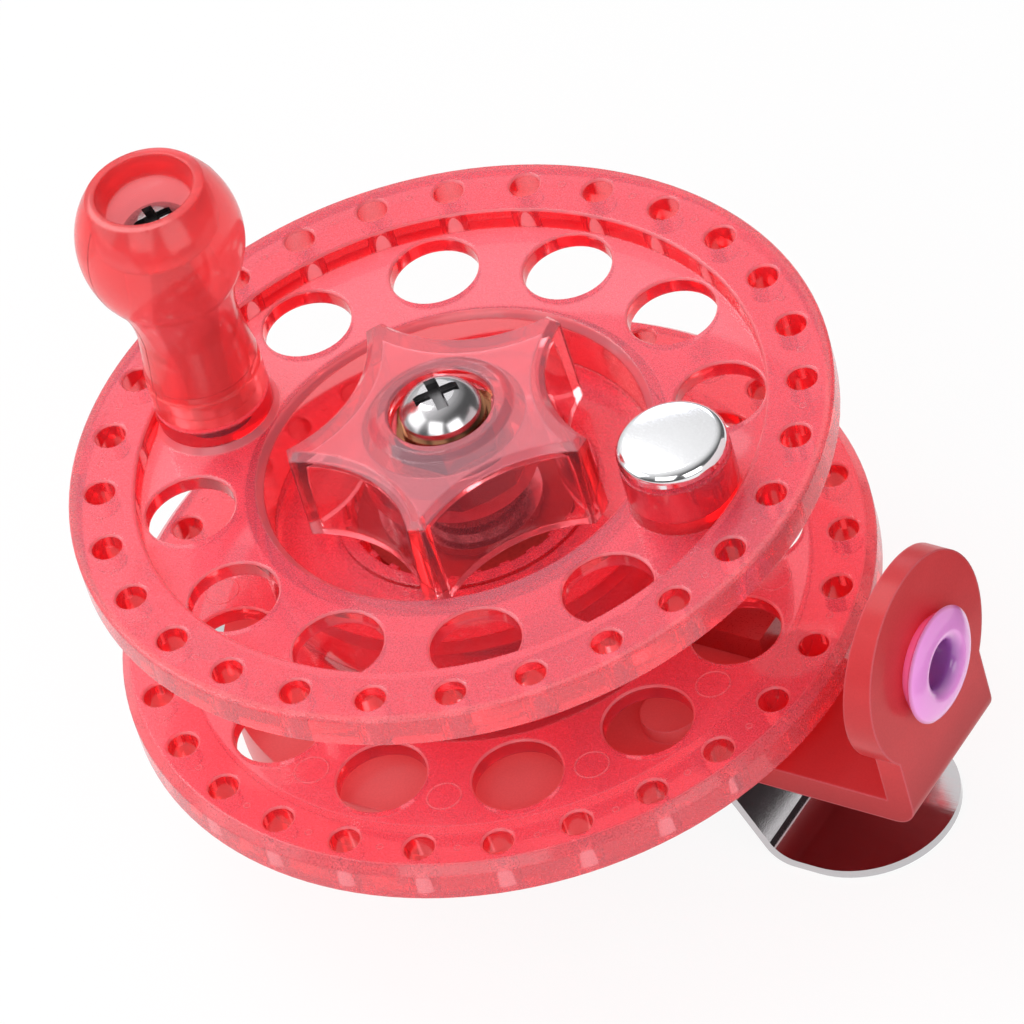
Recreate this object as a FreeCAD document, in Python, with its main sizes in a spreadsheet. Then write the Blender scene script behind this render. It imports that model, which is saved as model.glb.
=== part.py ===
"""Side-cast fishing reel of clear red plastic: spool, crank knob, star drag, line guide and foot.

Lengths are millimetres. The spool turns about +Z. +X runs along the rod, out through the line
guide. The origin is on the spool's axis, in the plane that the foot's two tongues rest on.
"""
import FreeCAD, Part
import math
import os

import Sketcher

os.makedirs("parts", exist_ok=True)
doc = FreeCAD.newDocument("FishingReel")
Vector = FreeCAD.Vector


# Driving dimensions

SIZES = {
    # foot, pressed from one strip of sheet
    "foot_half_length": 41.0,
    "foot_width": 16.3,
    "foot_sheet": 0.8,
    "foot_height": 8.05,
    "foot_bend_low": 28.7,
    "foot_bend_high": 25.2,
    "foot_bend_radius": 2.6,
    "foot_screw_reach": 19.1,
    "foot_screw_side": 4.8,
    "foot_screw_radius": 1.25,
    "foot_screw_head": 2.5,
    "foot_screw_head_depth": 1.4,
    "foot_screw_grip": 4.2,
    "front_screw_grip": 3.4,
    # frame: round base, arm and line guide upright
    "base_radius": 24.2,
    "base_depth": 5.35,
    "base_floor": 2.4,
    "base_wall": 1.8,
    "base_roof": 2.0,
    "well_ring_radius": 14.2,
    "click_bay_start": -40.0,
    "click_bay_end": 32.0,
    "screw_boss_radius": 2.6,
    "arm_reach": 43.3,
    "arm_width": 13.6,
    "upright_sheet": 2.4,
    "arm_corner_radius": 2.1,
    "paddle_sheet": 3.3,
    "paddle_taper": 1.6,
    "paddle_eye_height": 21.1,
    "paddle_neck_height": 15.5,
    "paddle_shoulder_height": 29.05,
    "paddle_shoulder": 5.3,
    "paddle_side_radius": 9.77,
    "paddle_crown_radius": 8.52,
    # line guide ring
    "eye_bore": 2.0,
    "eye_crest": 3.1,
    "eye_tube": 3.6,
    "eye_flange": 5.0,
    "eye_flange_foot": 1.0,
    "eye_edge": 1.15,
    "eye_stand": 1.8,
    "eye_back": 0.3,
    # spool
    "spool_turn": 5.33,
    "spool_gap": 1.85,
    "rim_radius": 32.5,
    "rim_width": 5.7,
    "rim_depth": 3.5,
    "rim_recess": 2.05,
    "rim_chamfer": 0.8,
    "rim_edge": 0.2,
    "line_width": 14.4,
    "rim_hole_radius": 1.3,
    "rim_hole_inset": 2.7,
    "rim_hole_count": 28,
    "hole_edge": 0.18,
    "web_hole_margin": 0.55,
    "web_hole_shift": 0.2,
    "web_hole_count": 12,
    "drum_radius": 18.0,
    "drum_wall": 1.6,
    "spigot_depth": 1.6,
    "well_depth": 6.9,
    "well_edge": 0.6,
    "well_floor": 1.5,
    "cup_radius": 10.0,
    "cup_wall": 1.5,
    "cup_depth": 4.0,
    "cup_lip": 0.4,
    "cup_lip_width": 1.2,
    "cup_rib_count": 24,
    "cup_rib_width": 0.9,
    "cup_rib_depth": 0.65,
    "hub_wall": 1.6,
    "post_clearance": 0.6,
    # click ratchet under the spool, and the click slide in the base
    "ratchet_inner": 11.0,
    "ratchet_root": 12.3,
    "ratchet_tip": 13.1,
    "ratchet_teeth": 36,
    "ratchet_floor_gap": 0.95,
    "click_angle": 25.0,
    "click_bite": 12.75,
    "click_travel": 0.9,
    "click_width": 3.5,
    "click_depth": 2.6,
    "click_end": 23.3,
    "click_nose_root": 14.6,
    "click_nose_width": 1.8,
    "click_keel_width": 1.6,
    "click_keel_start": 17.2,
    "click_keel_length": 3.0,
    "click_screw_radius": 0.6,
    "click_screw_reach": 3.2,
    "click_screw_head": 1.7,
    "click_screw_head_depth": 0.8,
    "slide_clearance": 0.05,
    "keel_clearance": 0.1,
    # post, bearings and drag stack
    "post_radius": 3.0,
    "post_flat": 2.45,
    "post_flange": 4.75,
    "post_flange_depth": 1.4,
    "bearing_radius": 6.0,
    "bearing_depth": 4.0,
    "bearing_inner_ring": 0.9,
    "bearing_outer_ring": 1.0,
    "bearing_shield": 0.25,
    "bearing_shield_gap": 0.1,
    "bearing_shoulder": 0.8,
    "shim_radius": 4.2,
    "shim_depth": 0.55,
    "washer_radius": 9.0,
    "washer_depth": 0.7,
    "washer_bore": 3.7,
    "washer_gap": 0.05,
    "ear_radius": 9.8,
    "ear_width": 1.3,
    "pressure_radius": 6.4,
    "pressure_depth": 0.8,
    "drag_travel": 0.375,
    "spring_radius": 5.2,
    "spring_bore": 3.3,
    "spring_sheet": 0.5,
    "spring_cone": 0.4,
    "spring_count": 4,
    "bore_clearance": 0.05,
    # star knob
    "star_turn": 3.2,
    "star_radius": 13.3,
    "star_depth": 8.7,
    "star_stand": 2.95,
    "star_scallop_centre": 20.9,
    "star_scallop_radius": 12.1,
    "star_draft": 2.8,
    "star_roof": 1.8,
    "star_wall": 1.3,
    "star_edge": 0.6,
    "star_boss_radius": 6.9,
    "star_collar_foot": 6.2,
    "star_collar_radius": 5.4,
    "star_collar_height": 0.45,
    "star_mouth_edge": 0.2,
    "star_well_radius": 4.45,
    "star_well_depth": 1.05,
    "insert_hex": 4.0,
    # screw and washer that hold the star knob on the post
    "cap_screw_radius": 2.0,
    "cap_screw_reach": 8.0,
    "cap_screw_head": 3.45,
    "cap_screw_head_side": 0.8,
    "cap_screw_head_depth": 2.4,
    "cap_washer_radius": 3.7,
    "cap_washer_depth": 0.6,
    "cap_washer_gap": 0.1,
    # crank knob, on its own post through the upper flange
    "crank_shift": 0.2,
    "crank_boss_radius": 4.95,
    "crank_boss_stand": 0.1,
    "crank_boss_flare": 0.5,
    "crank_gap": 0.1,
    "crank_foot_radius": 4.95,
    "crank_foot_depth": 2.95,
    "crank_foot_edge": 0.5,
    "crank_groove": 0.2,
    "crank_groove_height": 0.9,
    "crank_stem_radius": 4.9,
    "crank_waist_radius": 4.38,
    "crank_waist_height": 10.6,
    "crank_neck_radius": 5.35,
    "crank_neck_height": 15.0,
    "crank_height": 25.75,
    "crank_lip_radius": 5.05,
    "crank_lip_drop": 0.08,
    "crank_mouth_radius": 4.2,
    "crank_step": 0.25,
    "crank_step_depth": 1.6,
    "crank_recess": 5.45,
    "crank_recess_radius": 3.5,
    "crank_stem_curve": 45.0,
    "crank_neck_curve": 10.5,
    "crank_bulb_curve": 8.7,
    "crank_lip_curve": 2.0,
    "crank_bush_radius": 2.2,
    "crank_screw_radius": 1.5,
    "crank_screw_bite": 2.4,
    "crank_screw_head": 2.9,
    "crank_screw_head_depth": 1.7,
    "crank_washer_radius": 3.2,
    "crank_washer_depth": 0.5,
    # counterweight opposite the crank knob
    "weight_shift": -0.8,
    "weight_cup_radius": 4.75,
    "weight_cup_height": 4.75,
    "weight_bore": 3.6,
    "weight_cup_floor": 0.75,
    "weight_plug_depth": 3.8,
    "weight_fit": 0.03,
    "weight_cap_radius": 4.7,
    "weight_cap_depth": 2.2,
    "weight_cap_edge": 0.9,
    "weight_cap_crown": 0.25,
    "weight_cap_foot": 0.6,
    # cross recess in the heads of the visible screws
    "cross_length": 0.56,
    "cross_width": 0.15,
    "cross_depth": 1.3,
    "cross_turn": 50.0,
}

sheet = doc.addObject("Spreadsheet::Sheet", "Sizes")
for row, (alias, number) in enumerate(SIZES.items(), start=1):
    sheet.set("A%d" % row, str(number))
    sheet.setAlias("A%d" % row, alias)
doc.recompute()


class Size:
    """A number from the sheet together with the formula that keeps it bound to the sheet."""

    def __init__(self, value, formula):
        self.value = value
        self.formula = formula

    def __add__(self, other):
        other = size(other)
        return Size(self.value + other.value, "(%s + %s)" % (self.formula, other.formula))

    def __radd__(self, other):
        return size(other) + self

    def __sub__(self, other):
        other = size(other)
        return Size(self.value - other.value, "(%s - %s)" % (self.formula, other.formula))

    def __rsub__(self, other):
        return size(other) - self

    def __mul__(self, other):
        other = size(other)
        return Size(self.value * other.value, "(%s * %s)" % (self.formula, other.formula))

    def __rmul__(self, other):
        return size(other) * self

    def __truediv__(self, other):
        other = size(other)
        return Size(self.value / other.value, "(%s / %s)" % (self.formula, other.formula))

    def __neg__(self):
        return Size(-self.value, "(0 - %s)" % self.formula)


def size(number):
    return number if isinstance(number, Size) else Size(float(number), repr(number))


def root(number):
    return Size(math.sqrt(number.value), "sqrt(%s)" % number.formula)


def cosine(angle):
    angle = size(angle)
    return Size(math.cos(math.radians(angle.value)), "cos(%s * 1deg)" % angle.formula)


def sine(angle):
    angle = size(angle)
    return Size(math.sin(math.radians(angle.value)), "sin(%s * 1deg)" % angle.formula)


class Sheet:
    """Sizes of the sheet by name, such as s.rim_radius."""

    def __getattr__(self, alias):
        return Size(float(getattr(sheet, alias)), "Sizes.%s" % alias)


s = Sheet()


# Radii on the spool's flanges that several pieces share

rim_inner = s.rim_radius - s.rim_width
rim_hole_pitch = s.rim_radius - s.rim_hole_inset
web_middle = (rim_inner + s.drum_radius) / 2
web_hole_pitch = web_middle + s.web_hole_shift
web_hole_radius = (rim_inner - s.drum_radius) / 2 - s.web_hole_margin
crank_pitch = web_middle + s.crank_shift
crank_boss_depth = s.rim_recess + s.crank_boss_stand
weight_pitch = web_middle + s.weight_shift


# Heights that several pieces share

arm_bottom = s.foot_height
arm_top = arm_bottom + s.base_floor
base_top = arm_bottom + s.base_depth
spool_bottom = arm_top + s.spool_gap
lower_line_side = spool_bottom + s.rim_depth
lower_web_bottom = spool_bottom + s.rim_recess
upper_line_side = lower_line_side + s.line_width
spool_top = upper_line_side + s.rim_depth
web_top = spool_top - s.rim_recess
well_floor_top = spool_top - s.well_depth
cup_floor_top = well_floor_top - s.cup_depth
cup_floor_bottom = cup_floor_top - s.well_floor
seam = lower_line_side + s.line_width / 2
lower_bearing_bottom = arm_top + s.shim_depth
lower_bearing_top = lower_bearing_bottom + s.bearing_depth
upper_bearing_top = cup_floor_bottom
upper_bearing_bottom = upper_bearing_top - s.bearing_depth
star_top = spool_top + s.star_stand
star_bottom = star_top - s.star_depth
star_well_floor = star_top - s.star_well_depth
post_top = star_well_floor + s.cap_washer_gap
friction_bottom = cup_floor_top
keyed_bottom = friction_bottom + s.washer_depth + s.washer_gap
eared_bottom = keyed_bottom + s.washer_depth + s.washer_gap
upper_friction_bottom = eared_bottom + s.washer_depth
stack_top = upper_friction_bottom + s.washer_depth
pressure_bottom = stack_top + s.drag_travel + s.washer_gap
spring_bottom = pressure_bottom + s.pressure_depth
spring_top = spring_bottom + s.spring_count * (s.spring_sheet + s.spring_cone)
star_boss_bottom = spring_top + s.washer_gap
click_y = s.click_bite * sine(s.click_angle)
click_tip = s.click_bite * cosine(s.click_angle) + s.click_travel
click_keel_bottom = arm_bottom + s.click_screw_head_depth + 0.3
click_screw_x = s.click_keel_start + s.click_keel_length / 2


# Drawing helpers

def plane(body, role):
    for feature in body.Origin.OriginFeatures:
        if feature.Role == role:
            return feature
    raise ValueError(role)


def new_body(label):
    body = doc.addObject("PartDesign::Body", label)
    body.Label = label
    return body


def new_sketch(body, role, height=None):
    sketch = body.newObject("Sketcher::SketchObject", body.Label + "_sketch")
    sketch.AttachmentSupport = [(plane(body, role), "")]
    sketch.MapMode = "FlatFace"
    if height is not None:
        height = size(height)
        sketch.AttachmentOffset = FreeCAD.Placement(Vector(0, 0, height.value), FreeCAD.Rotation())
        sketch.setExpression("AttachmentOffset.Base.z", height.formula)
    return sketch


def bind(sketch, kind, places, number):
    number = size(number)
    index = sketch.addConstraint(Sketcher.Constraint(kind, *places, number.value))
    sketch.setExpression("Constraints[%d]" % index, number.formula)


def draw_circle(sketch, x, y, radius):
    x, y, radius = size(x), size(y), size(radius)
    circle = Part.Circle(Vector(x.value, y.value, 0), Vector(0, 0, 1), radius.value)
    index = sketch.addGeometry(circle, False)
    bind(sketch, "Radius", (index,), radius)
    bind(sketch, "DistanceX", (-1, 1, index, 3), x)
    bind(sketch, "DistanceY", (-1, 1, index, 3), y)


def arc_between(start, end, radius):
    """Arc from start to end; a positive radius bulges to the right of the way from start to end."""
    chord = end - start
    middle = (start + end) * 0.5
    right = Vector(chord.y, -chord.x, 0)
    right.normalize()
    reach = math.sqrt(radius * radius - chord.Length * chord.Length / 4)
    side = 1 if radius > 0 else -1
    crown = middle + right * (side * (abs(radius) - reach))
    return Part.Arc(start, crown, end)


def draw_outline(sketch, corners, arcs=None):
    """Closed outline through the corners; arcs maps a corner's index to the radius of its side."""
    arcs = arcs or {}
    corners = [(size(x), size(y)) for x, y in corners]
    spots = [Vector(x.value, y.value, 0) for x, y in corners]
    sides = []
    for index, spot in enumerate(spots):
        following = spots[(index + 1) % len(spots)]
        if index in arcs:
            side = arc_between(spot, following, size(arcs[index]).value)
        else:
            side = Part.LineSegment(spot, following)
        sides.append(sketch.addGeometry(side, False))
    ends = []
    for index, side in enumerate(sides):
        at_start = sketch.getPoint(side, 1).distanceToPoint(spots[index]) < 1e-6
        ends.append((1, 2) if at_start else (2, 1))
    for index, side in enumerate(sides):
        following = (index + 1) % len(sides)
        places = (side, ends[index][1], sides[following], ends[following][0])
        sketch.addConstraint(Sketcher.Constraint("Coincident", *places))
        x, y = corners[index]
        bind(sketch, "DistanceX", (-1, 1, side, ends[index][0]), x)
        bind(sketch, "DistanceY", (-1, 1, side, ends[index][0]), y)
        if index in arcs:
            radius = size(arcs[index])
            outward = radius if radius.value > 0 else -radius
            bind(sketch, "Radius", (side,), outward)


def settle(body, feature):
    doc.recompute()
    if "Invalid" in feature.State or "Error" in feature.State or feature.Shape.isNull():
        raise RuntimeError("%s failed in %s" % (feature.Name, body.Label))
    body.Tip = feature
    return feature


def tip_volume(body):
    return body.Tip.Shape.Volume if body.Tip is not None else 0.0


def revolve(body, corners, arcs=None):
    """Solid of revolution about Z; corners are radius and height."""
    sketch = new_sketch(body, "XZ_Plane")
    draw_outline(sketch, corners, arcs)
    feature = body.newObject("PartDesign::Revolution", body.Label + "_turned")
    feature.Profile = sketch
    feature.ReferenceAxis = (sketch, ["V_Axis"])
    feature.Angle = 360
    return settle(body, feature)


def pad(body, sketch, length, midplane=False, taper=0):
    """Raise the sketch; a negative taper in degrees narrows it on the way."""
    length = size(length)
    before = tip_volume(body)
    feature = body.newObject("PartDesign::Pad", body.Label + "_pad")
    feature.Profile = sketch
    feature.Length = length.value
    feature.setExpression("Length", length.formula)
    feature.Midplane = midplane
    feature.TaperAngle = taper
    settle(body, feature)
    if feature.Shape.Volume <= before:
        raise RuntimeError("pad adds nothing in " + body.Label)
    return feature


def pocket(body, sketch, depth, upward=False):
    """Cut from the sketch down along its normal, or up with upward."""
    depth = size(depth)
    before = tip_volume(body)
    feature = body.newObject("PartDesign::Pocket", body.Label + "_pocket")
    feature.Profile = sketch
    feature.Length = depth.value
    feature.setExpression("Length", depth.formula)
    feature.Reversed = upward
    settle(body, feature)
    if feature.Shape.Volume >= before:
        raise RuntimeError("pocket cuts nothing in " + body.Label)
    return feature


def repeat_around(body, feature, count, span=360):
    count, span = size(count), size(span)
    pattern = body.newObject("PartDesign::PolarPattern", body.Label + "_around")
    pattern.Originals = [feature]
    pattern.Axis = (plane(body, "Z_Axis"), [""])
    pattern.Angle = span.value
    pattern.setExpression("Angle", span.formula)
    pattern.Occurrences = int(count.value)
    pattern.setExpression("Occurrences", count.formula)
    return settle(body, pattern)


def edge_names(shape, wanted):
    return ["Edge%d" % number for number, edge in enumerate(shape.Edges, start=1) if wanted(edge)]


def dress(body, kind, wanted, amount):
    """Fillet or chamfer on the edges of the tip that the test picks."""
    base = body.Tip
    names = edge_names(base.Shape, wanted)
    if not names:
        raise RuntimeError("no edge to dress in " + body.Label)
    feature = body.newObject("PartDesign::" + kind, body.Label + "_edges")
    feature.Base = (base, names)
    name = "Radius" if kind == "Fillet" else "Size"
    setattr(feature, name, amount.value)
    feature.setExpression(name, amount.formula)
    return settle(body, feature)


def place(body, x=0, y=0, z=0, turn=0):
    """Put a body at a point, turned about Z, all bound to the sheet."""
    x, y, z, turn = size(x), size(y), size(z), size(turn)
    turned = FreeCAD.Rotation(Vector(0, 0, 1), turn.value or 1.0)
    body.Placement = FreeCAD.Placement(Vector(x.value, y.value, z.value), turned)
    body.setExpression("Placement.Base.x", x.formula)
    body.setExpression("Placement.Base.y", y.formula)
    body.setExpression("Placement.Base.z", z.formula)
    body.setExpression("Placement.Rotation.Angle", turn.formula)


def ring(label, inner, outer, bottom, top):
    body = new_body(label)
    revolve(body, [(inner, bottom), (outer, bottom), (outer, top), (inner, top)])
    return body


def hexagon(flat_radius):
    """Corners of a hexagon whose flats lie at flat_radius from the centre."""
    reach = flat_radius / cosine(30)
    return [(reach * cosine(60 * k), reach * sine(60 * k)) for k in range(6)]


def double_d(radius, flat):
    """Corners of a round hole with two flats, with the round sides' radii."""
    side = root(radius * radius - flat * flat)
    corners = [(flat, -side), (flat, side), (-flat, side), (-flat, -side)]
    return corners, {1: radius, 3: radius}


def cross_recess(body, top, head_radius):
    """Cross-shaped recess cut down into a screw head."""
    reach = head_radius * s.cross_length
    half = head_radius * s.cross_width
    for heading in (s.cross_turn, s.cross_turn + 90):
        along, across = cosine(heading), sine(heading)
        corners = [
            (reach * u * along - half * v * across, reach * u * across + half * v * along)
            for u, v in ((-1, -1), (1, -1), (1, 1), (-1, 1))
        ]
        sketch = new_sketch(body, "XY_Plane", top)
        draw_outline(sketch, corners)
        pocket(body, sketch, s.cross_depth)


finished = []


def keep(piece, label=None):
    if label is not None:
        piece.Label = label
    finished.append(piece)
    return piece


# Foot

def make_rod_foot():
    body = new_body("rod_foot")
    rise = s.foot_height - s.foot_sheet
    run = s.foot_bend_low - s.foot_bend_high
    lean = (root(run * run + rise * rise) - run) / rise * s.foot_sheet
    half = [
        (s.foot_half_length, size(0)),
        (s.foot_half_length, s.foot_sheet),
        (s.foot_bend_low + lean, s.foot_sheet),
        (s.foot_bend_high + lean, s.foot_height),
    ]
    under = [(s.foot_bend_high, rise), (s.foot_bend_low, size(0))]
    corners = half + [(-x, z) for x, z in reversed(half)]
    corners += [(-x, z) for x, z in reversed(under)] + under
    sketch = new_sketch(body, "XZ_Plane")
    draw_outline(sketch, corners)
    pad(body, sketch, s.foot_width, midplane=True)

    def is_tip(edge):
        upright = abs(edge.BoundBox.ZLength - s.foot_sheet.value) < 1e-4
        return upright and edge.BoundBox.XLength < 1e-4

    def is_bend(edge):
        middle = edge.BoundBox.Center
        across = abs(edge.BoundBox.YLength - s.foot_width.value) < 1e-4
        return across and abs(middle.x) < s.foot_bend_low.value + 2 * s.foot_sheet.value

    dress(body, "Fillet", is_bend, s.foot_bend_radius)
    dress(body, "Fillet", is_tip, s.foot_width / 2 - 0.02)
    sketch = new_sketch(body, "XY_Plane", s.foot_height)
    for x, y in foot_screw_spots():
        draw_circle(sketch, x, y, s.foot_screw_radius + 0.15)
    pocket(body, sketch, s.foot_sheet * 2)
    keep(body)


def foot_screw_spots():
    reach, side = s.foot_screw_reach, s.foot_screw_side
    return [(-reach, side), (-reach, -side), (reach, -side)]


def make_foot_screws():
    """Three screws from below; the two rear ones reach further up than the front one."""
    screws = []
    shank_start = arm_bottom - s.foot_sheet
    grips = [s.foot_screw_grip, s.foot_screw_grip, s.front_screw_grip]
    for number, ((x, y), grip) in enumerate(zip(foot_screw_spots(), grips), start=1):
        body = new_body("foot_screw_%d" % number)
        head_bottom = -s.foot_screw_head_depth
        corners = [
            (size(0), head_bottom),
            (s.foot_screw_head * 0.7, head_bottom),
            (s.foot_screw_head, head_bottom + s.foot_screw_head_depth / 2),
            (s.foot_screw_head, size(0)),
            (s.foot_screw_radius, size(0)),
            (s.foot_screw_radius, grip + s.foot_sheet),
            (size(0), grip + s.foot_sheet),
        ]
        revolve(body, corners)
        place(body, x, y, shank_start)
        screws.append(body)
    group = doc.addObject("Part::Compound", "foot_screws")
    group.Links = screws
    keep(group, "foot_screws")


# Frame: base, arm and upright in one moulding

def sector(inner, outer, start, end, middle):
    """Corners and arc radii of a ring sector from start to end, past a middle angle."""
    angles = [start, middle, end]
    corners = [(outer * cosine(a), outer * sine(a)) for a in angles]
    corners += [(inner * cosine(a), inner * sine(a)) for a in reversed(angles)]
    return corners, {0: outer, 1: outer, 3: -inner, 4: -inner}


def make_frame_base():
    body = new_body("frame_base")
    sketch = new_sketch(body, "XY_Plane", arm_bottom)
    draw_circle(sketch, 0, 0, s.base_radius)
    pad(body, sketch, s.base_depth)

    half = s.arm_width / 2
    sketch = new_sketch(body, "XY_Plane", arm_bottom)
    draw_outline(sketch, [(0, -half), (s.arm_reach, -half), (s.arm_reach, half), (0, half)])
    pad(body, sketch, s.base_floor)

    neck, shoulder = s.paddle_neck_height, s.paddle_shoulder_height
    sketch = new_sketch(body, "YZ_Plane", s.arm_reach - s.upright_sheet)
    draw_outline(sketch, [(-half, arm_bottom), (half, arm_bottom), (half, neck + 1), (-half, neck + 1)])
    pad(body, sketch, s.upright_sheet)

    sketch = new_sketch(body, "YZ_Plane", s.arm_reach - s.paddle_sheet)
    corners = [(-half, neck), (half, neck), (s.paddle_shoulder, shoulder), (-s.paddle_shoulder, shoulder)]
    side, crown = s.paddle_side_radius, s.paddle_crown_radius
    draw_outline(sketch, corners, {1: side, 2: crown, 3: side})
    pad(body, sketch, s.paddle_sheet)

    wide = s.paddle_side_radius * 2
    back = s.arm_reach - s.paddle_sheet
    top = shoulder + s.paddle_shoulder
    sketch = new_sketch(body, "XZ_Plane", -wide / 2)
    draw_outline(sketch, [(back, neck + 1), (back + s.paddle_taper, top), (back - 1, top), (back - 1, neck + 1)])
    pocket(body, sketch, wide, upward=True)

    def is_arm_corner(edge):
        middle = edge.BoundBox.Center
        low = abs(middle.z - arm_bottom.value) < 1e-4
        return low and abs(middle.x - s.arm_reach.value) < 1e-4

    dress(body, "Fillet", is_arm_corner, s.arm_corner_radius)

    sketch = new_sketch(body, "XY_Plane", base_top)
    draw_circle(sketch, 0, 0, s.well_ring_radius)
    pocket(body, sketch, s.base_depth - s.base_floor)

    sketch = new_sketch(body, "XY_Plane", base_top)
    reach = s.base_radius * 1.3
    bay = [(0, 0)]
    for angle in (s.click_bay_start, s.click_bay_start + 36, s.click_bay_end):
        bay.append((reach * cosine(angle), reach * sine(angle)))
    draw_outline(sketch, bay)
    pocket(body, sketch, s.base_depth - s.base_floor)

    sketch = new_sketch(body, "XY_Plane", arm_bottom)
    corners, arcs = sector(
        s.well_ring_radius + s.base_wall,
        s.base_radius - s.base_wall,
        s.click_bay_end + 8,
        size(320) + (s.click_bay_start + 34),
        size(180),
    )
    draw_outline(sketch, corners, arcs)
    pocket(body, sketch, s.base_depth - s.base_roof, upward=True)

    spots = foot_screw_spots()
    sketch = new_sketch(body, "XY_Plane", arm_bottom)
    for x, y in spots[:2]:
        draw_circle(sketch, x, y, s.screw_boss_radius)
    pad(body, sketch, s.base_depth - s.base_roof / 2)
    sketch = new_sketch(body, "XY_Plane", arm_bottom)
    draw_circle(sketch, *spots[2], s.screw_boss_radius)
    pad(body, sketch, s.front_screw_grip + 0.4)
    sketch = new_sketch(body, "XY_Plane", arm_bottom)
    for x, y in spots[:2]:
        draw_circle(sketch, x, y, s.foot_screw_radius)
    pocket(body, sketch, s.foot_screw_grip, upward=True)
    sketch = new_sketch(body, "XY_Plane", arm_bottom)
    draw_circle(sketch, *spots[2], s.foot_screw_radius)
    pocket(body, sketch, s.front_screw_grip, upward=True)

    sketch = new_sketch(body, "XY_Plane", arm_top)
    draw_circle(sketch, 0, 0, s.post_radius)
    pocket(body, sketch, s.base_floor)
    sketch = new_sketch(body, "XY_Plane", arm_bottom)
    draw_outline(sketch, hexagon(s.post_flange + s.bore_clearance))
    pocket(body, sketch, s.post_flange_depth, upward=True)

    sketch = new_sketch(body, "XY_Plane", arm_top)
    slot = s.click_keel_width / 2 + s.keel_clearance
    start = s.click_keel_start - s.click_travel - 0.3
    end = s.click_keel_start + s.click_keel_length + 0.3
    low, high = click_y - slot, click_y + slot
    draw_outline(sketch, [(start, low), (end, low), (end, high), (start, high)])
    pocket(body, sketch, s.base_floor)
    sketch = new_sketch(body, "XY_Plane", arm_bottom)
    slot = s.click_screw_head + 0.3
    start = click_screw_x - s.click_travel - slot
    end = click_screw_x + slot
    low, high = click_y - slot, click_y + slot
    draw_outline(sketch, [(start, low), (end, low), (end, high), (start, high)])
    pocket(body, sketch, click_keel_bottom + s.slide_clearance - arm_bottom, upward=True)

    sketch = new_sketch(body, "YZ_Plane", s.arm_reach)
    draw_circle(sketch, 0, s.paddle_eye_height, s.eye_tube)
    pocket(body, sketch, s.paddle_sheet)
    keep(body)


def make_line_guide_ring():
    """Glazed ring with a rolled outer face, turned about its own axis and laid along X."""
    body = new_body("line_guide_ring")
    face = s.arm_reach
    back = face - s.paddle_sheet
    crest = face + s.eye_stand
    inner_roll = s.eye_crest - s.eye_bore
    run, rise = s.eye_flange - s.eye_crest, s.eye_stand - s.eye_edge
    outer_roll = (run * run + rise * rise) / (2 * rise)
    corners = [
        (s.eye_tube, face),
        (s.eye_flange - s.eye_flange_foot, face),
        (s.eye_flange, face + s.eye_edge),
        (s.eye_crest, crest),
        (s.eye_bore, crest - inner_roll),
        (s.eye_bore, back + s.eye_back),
        (s.eye_tube - s.eye_back * 2, back - s.eye_back),
        (s.eye_tube, back - s.eye_back),
    ]
    revolve(body, corners, {2: outer_roll, 3: inner_roll})
    body.Placement = FreeCAD.Placement(Vector(0, 0, 0), FreeCAD.Rotation(Vector(0, 1, 0), 90))
    body.setExpression("Placement.Base.z", s.paddle_eye_height.formula)
    keep(body)


# Click slide in the base's bay

def make_click_slide():
    body = new_body("click_slide")
    bottom = arm_top + s.slide_clearance
    half, nose = s.click_width / 2, s.click_nose_width / 2
    point = nose / 4
    corners = [
        (click_tip, click_y - point),
        (s.click_nose_root, click_y - nose),
        (s.click_nose_root, click_y - half),
        (s.click_end, click_y - half),
        (s.click_end, click_y + half),
        (s.click_nose_root, click_y + half),
        (s.click_nose_root, click_y + nose),
        (click_tip, click_y + point),
    ]
    sketch = new_sketch(body, "XY_Plane", bottom)
    draw_outline(sketch, corners)
    pad(body, sketch, s.click_depth)
    keel = s.click_keel_width / 2
    start, end = s.click_keel_start, s.click_keel_start + s.click_keel_length
    low, high = click_y - keel, click_y + keel
    sketch = new_sketch(body, "XY_Plane", click_keel_bottom)
    draw_outline(sketch, [(start, low), (end, low), (end, high), (start, high)])
    pad(body, sketch, bottom - click_keel_bottom)
    sketch = new_sketch(body, "XY_Plane", click_keel_bottom)
    draw_circle(sketch, click_screw_x, click_y, s.click_screw_radius)
    pocket(body, sketch, s.click_screw_reach, upward=True)
    keep(body)

    screw = new_body("click_screw")
    head_bottom = click_keel_bottom - s.click_screw_head_depth
    revolve(screw, [
        (size(0), head_bottom),
        (s.click_screw_head, head_bottom),
        (s.click_screw_head, click_keel_bottom),
        (s.click_screw_radius, click_keel_bottom),
        (s.click_screw_radius, click_keel_bottom + s.click_screw_reach),
        (size(0), click_keel_bottom + s.click_screw_reach),
    ])
    place(screw, click_screw_x, click_y)
    keep(screw)


# Spool

def rim_holes(body, face, depth):
    sketch = new_sketch(body, "XY_Plane", face)
    draw_circle(sketch, rim_hole_pitch, 0, s.rim_hole_radius)
    hole = pocket(body, sketch, depth)
    repeat_around(body, hole, s.rim_hole_count)


def ease_hole_edges(body, radius, height):
    """Small chamfer on the upper edge of every hole of this radius that ends at this height."""

    def is_hole_edge(edge):
        box = edge.BoundBox
        level = box.ZLength < 1e-4 and abs(box.ZMin - height.value) < 1e-4
        return level and abs(edge.Length - 2 * math.pi * radius.value) < 1e-3

    dress(body, "Chamfer", is_hole_edge, s.hole_edge)


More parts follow.
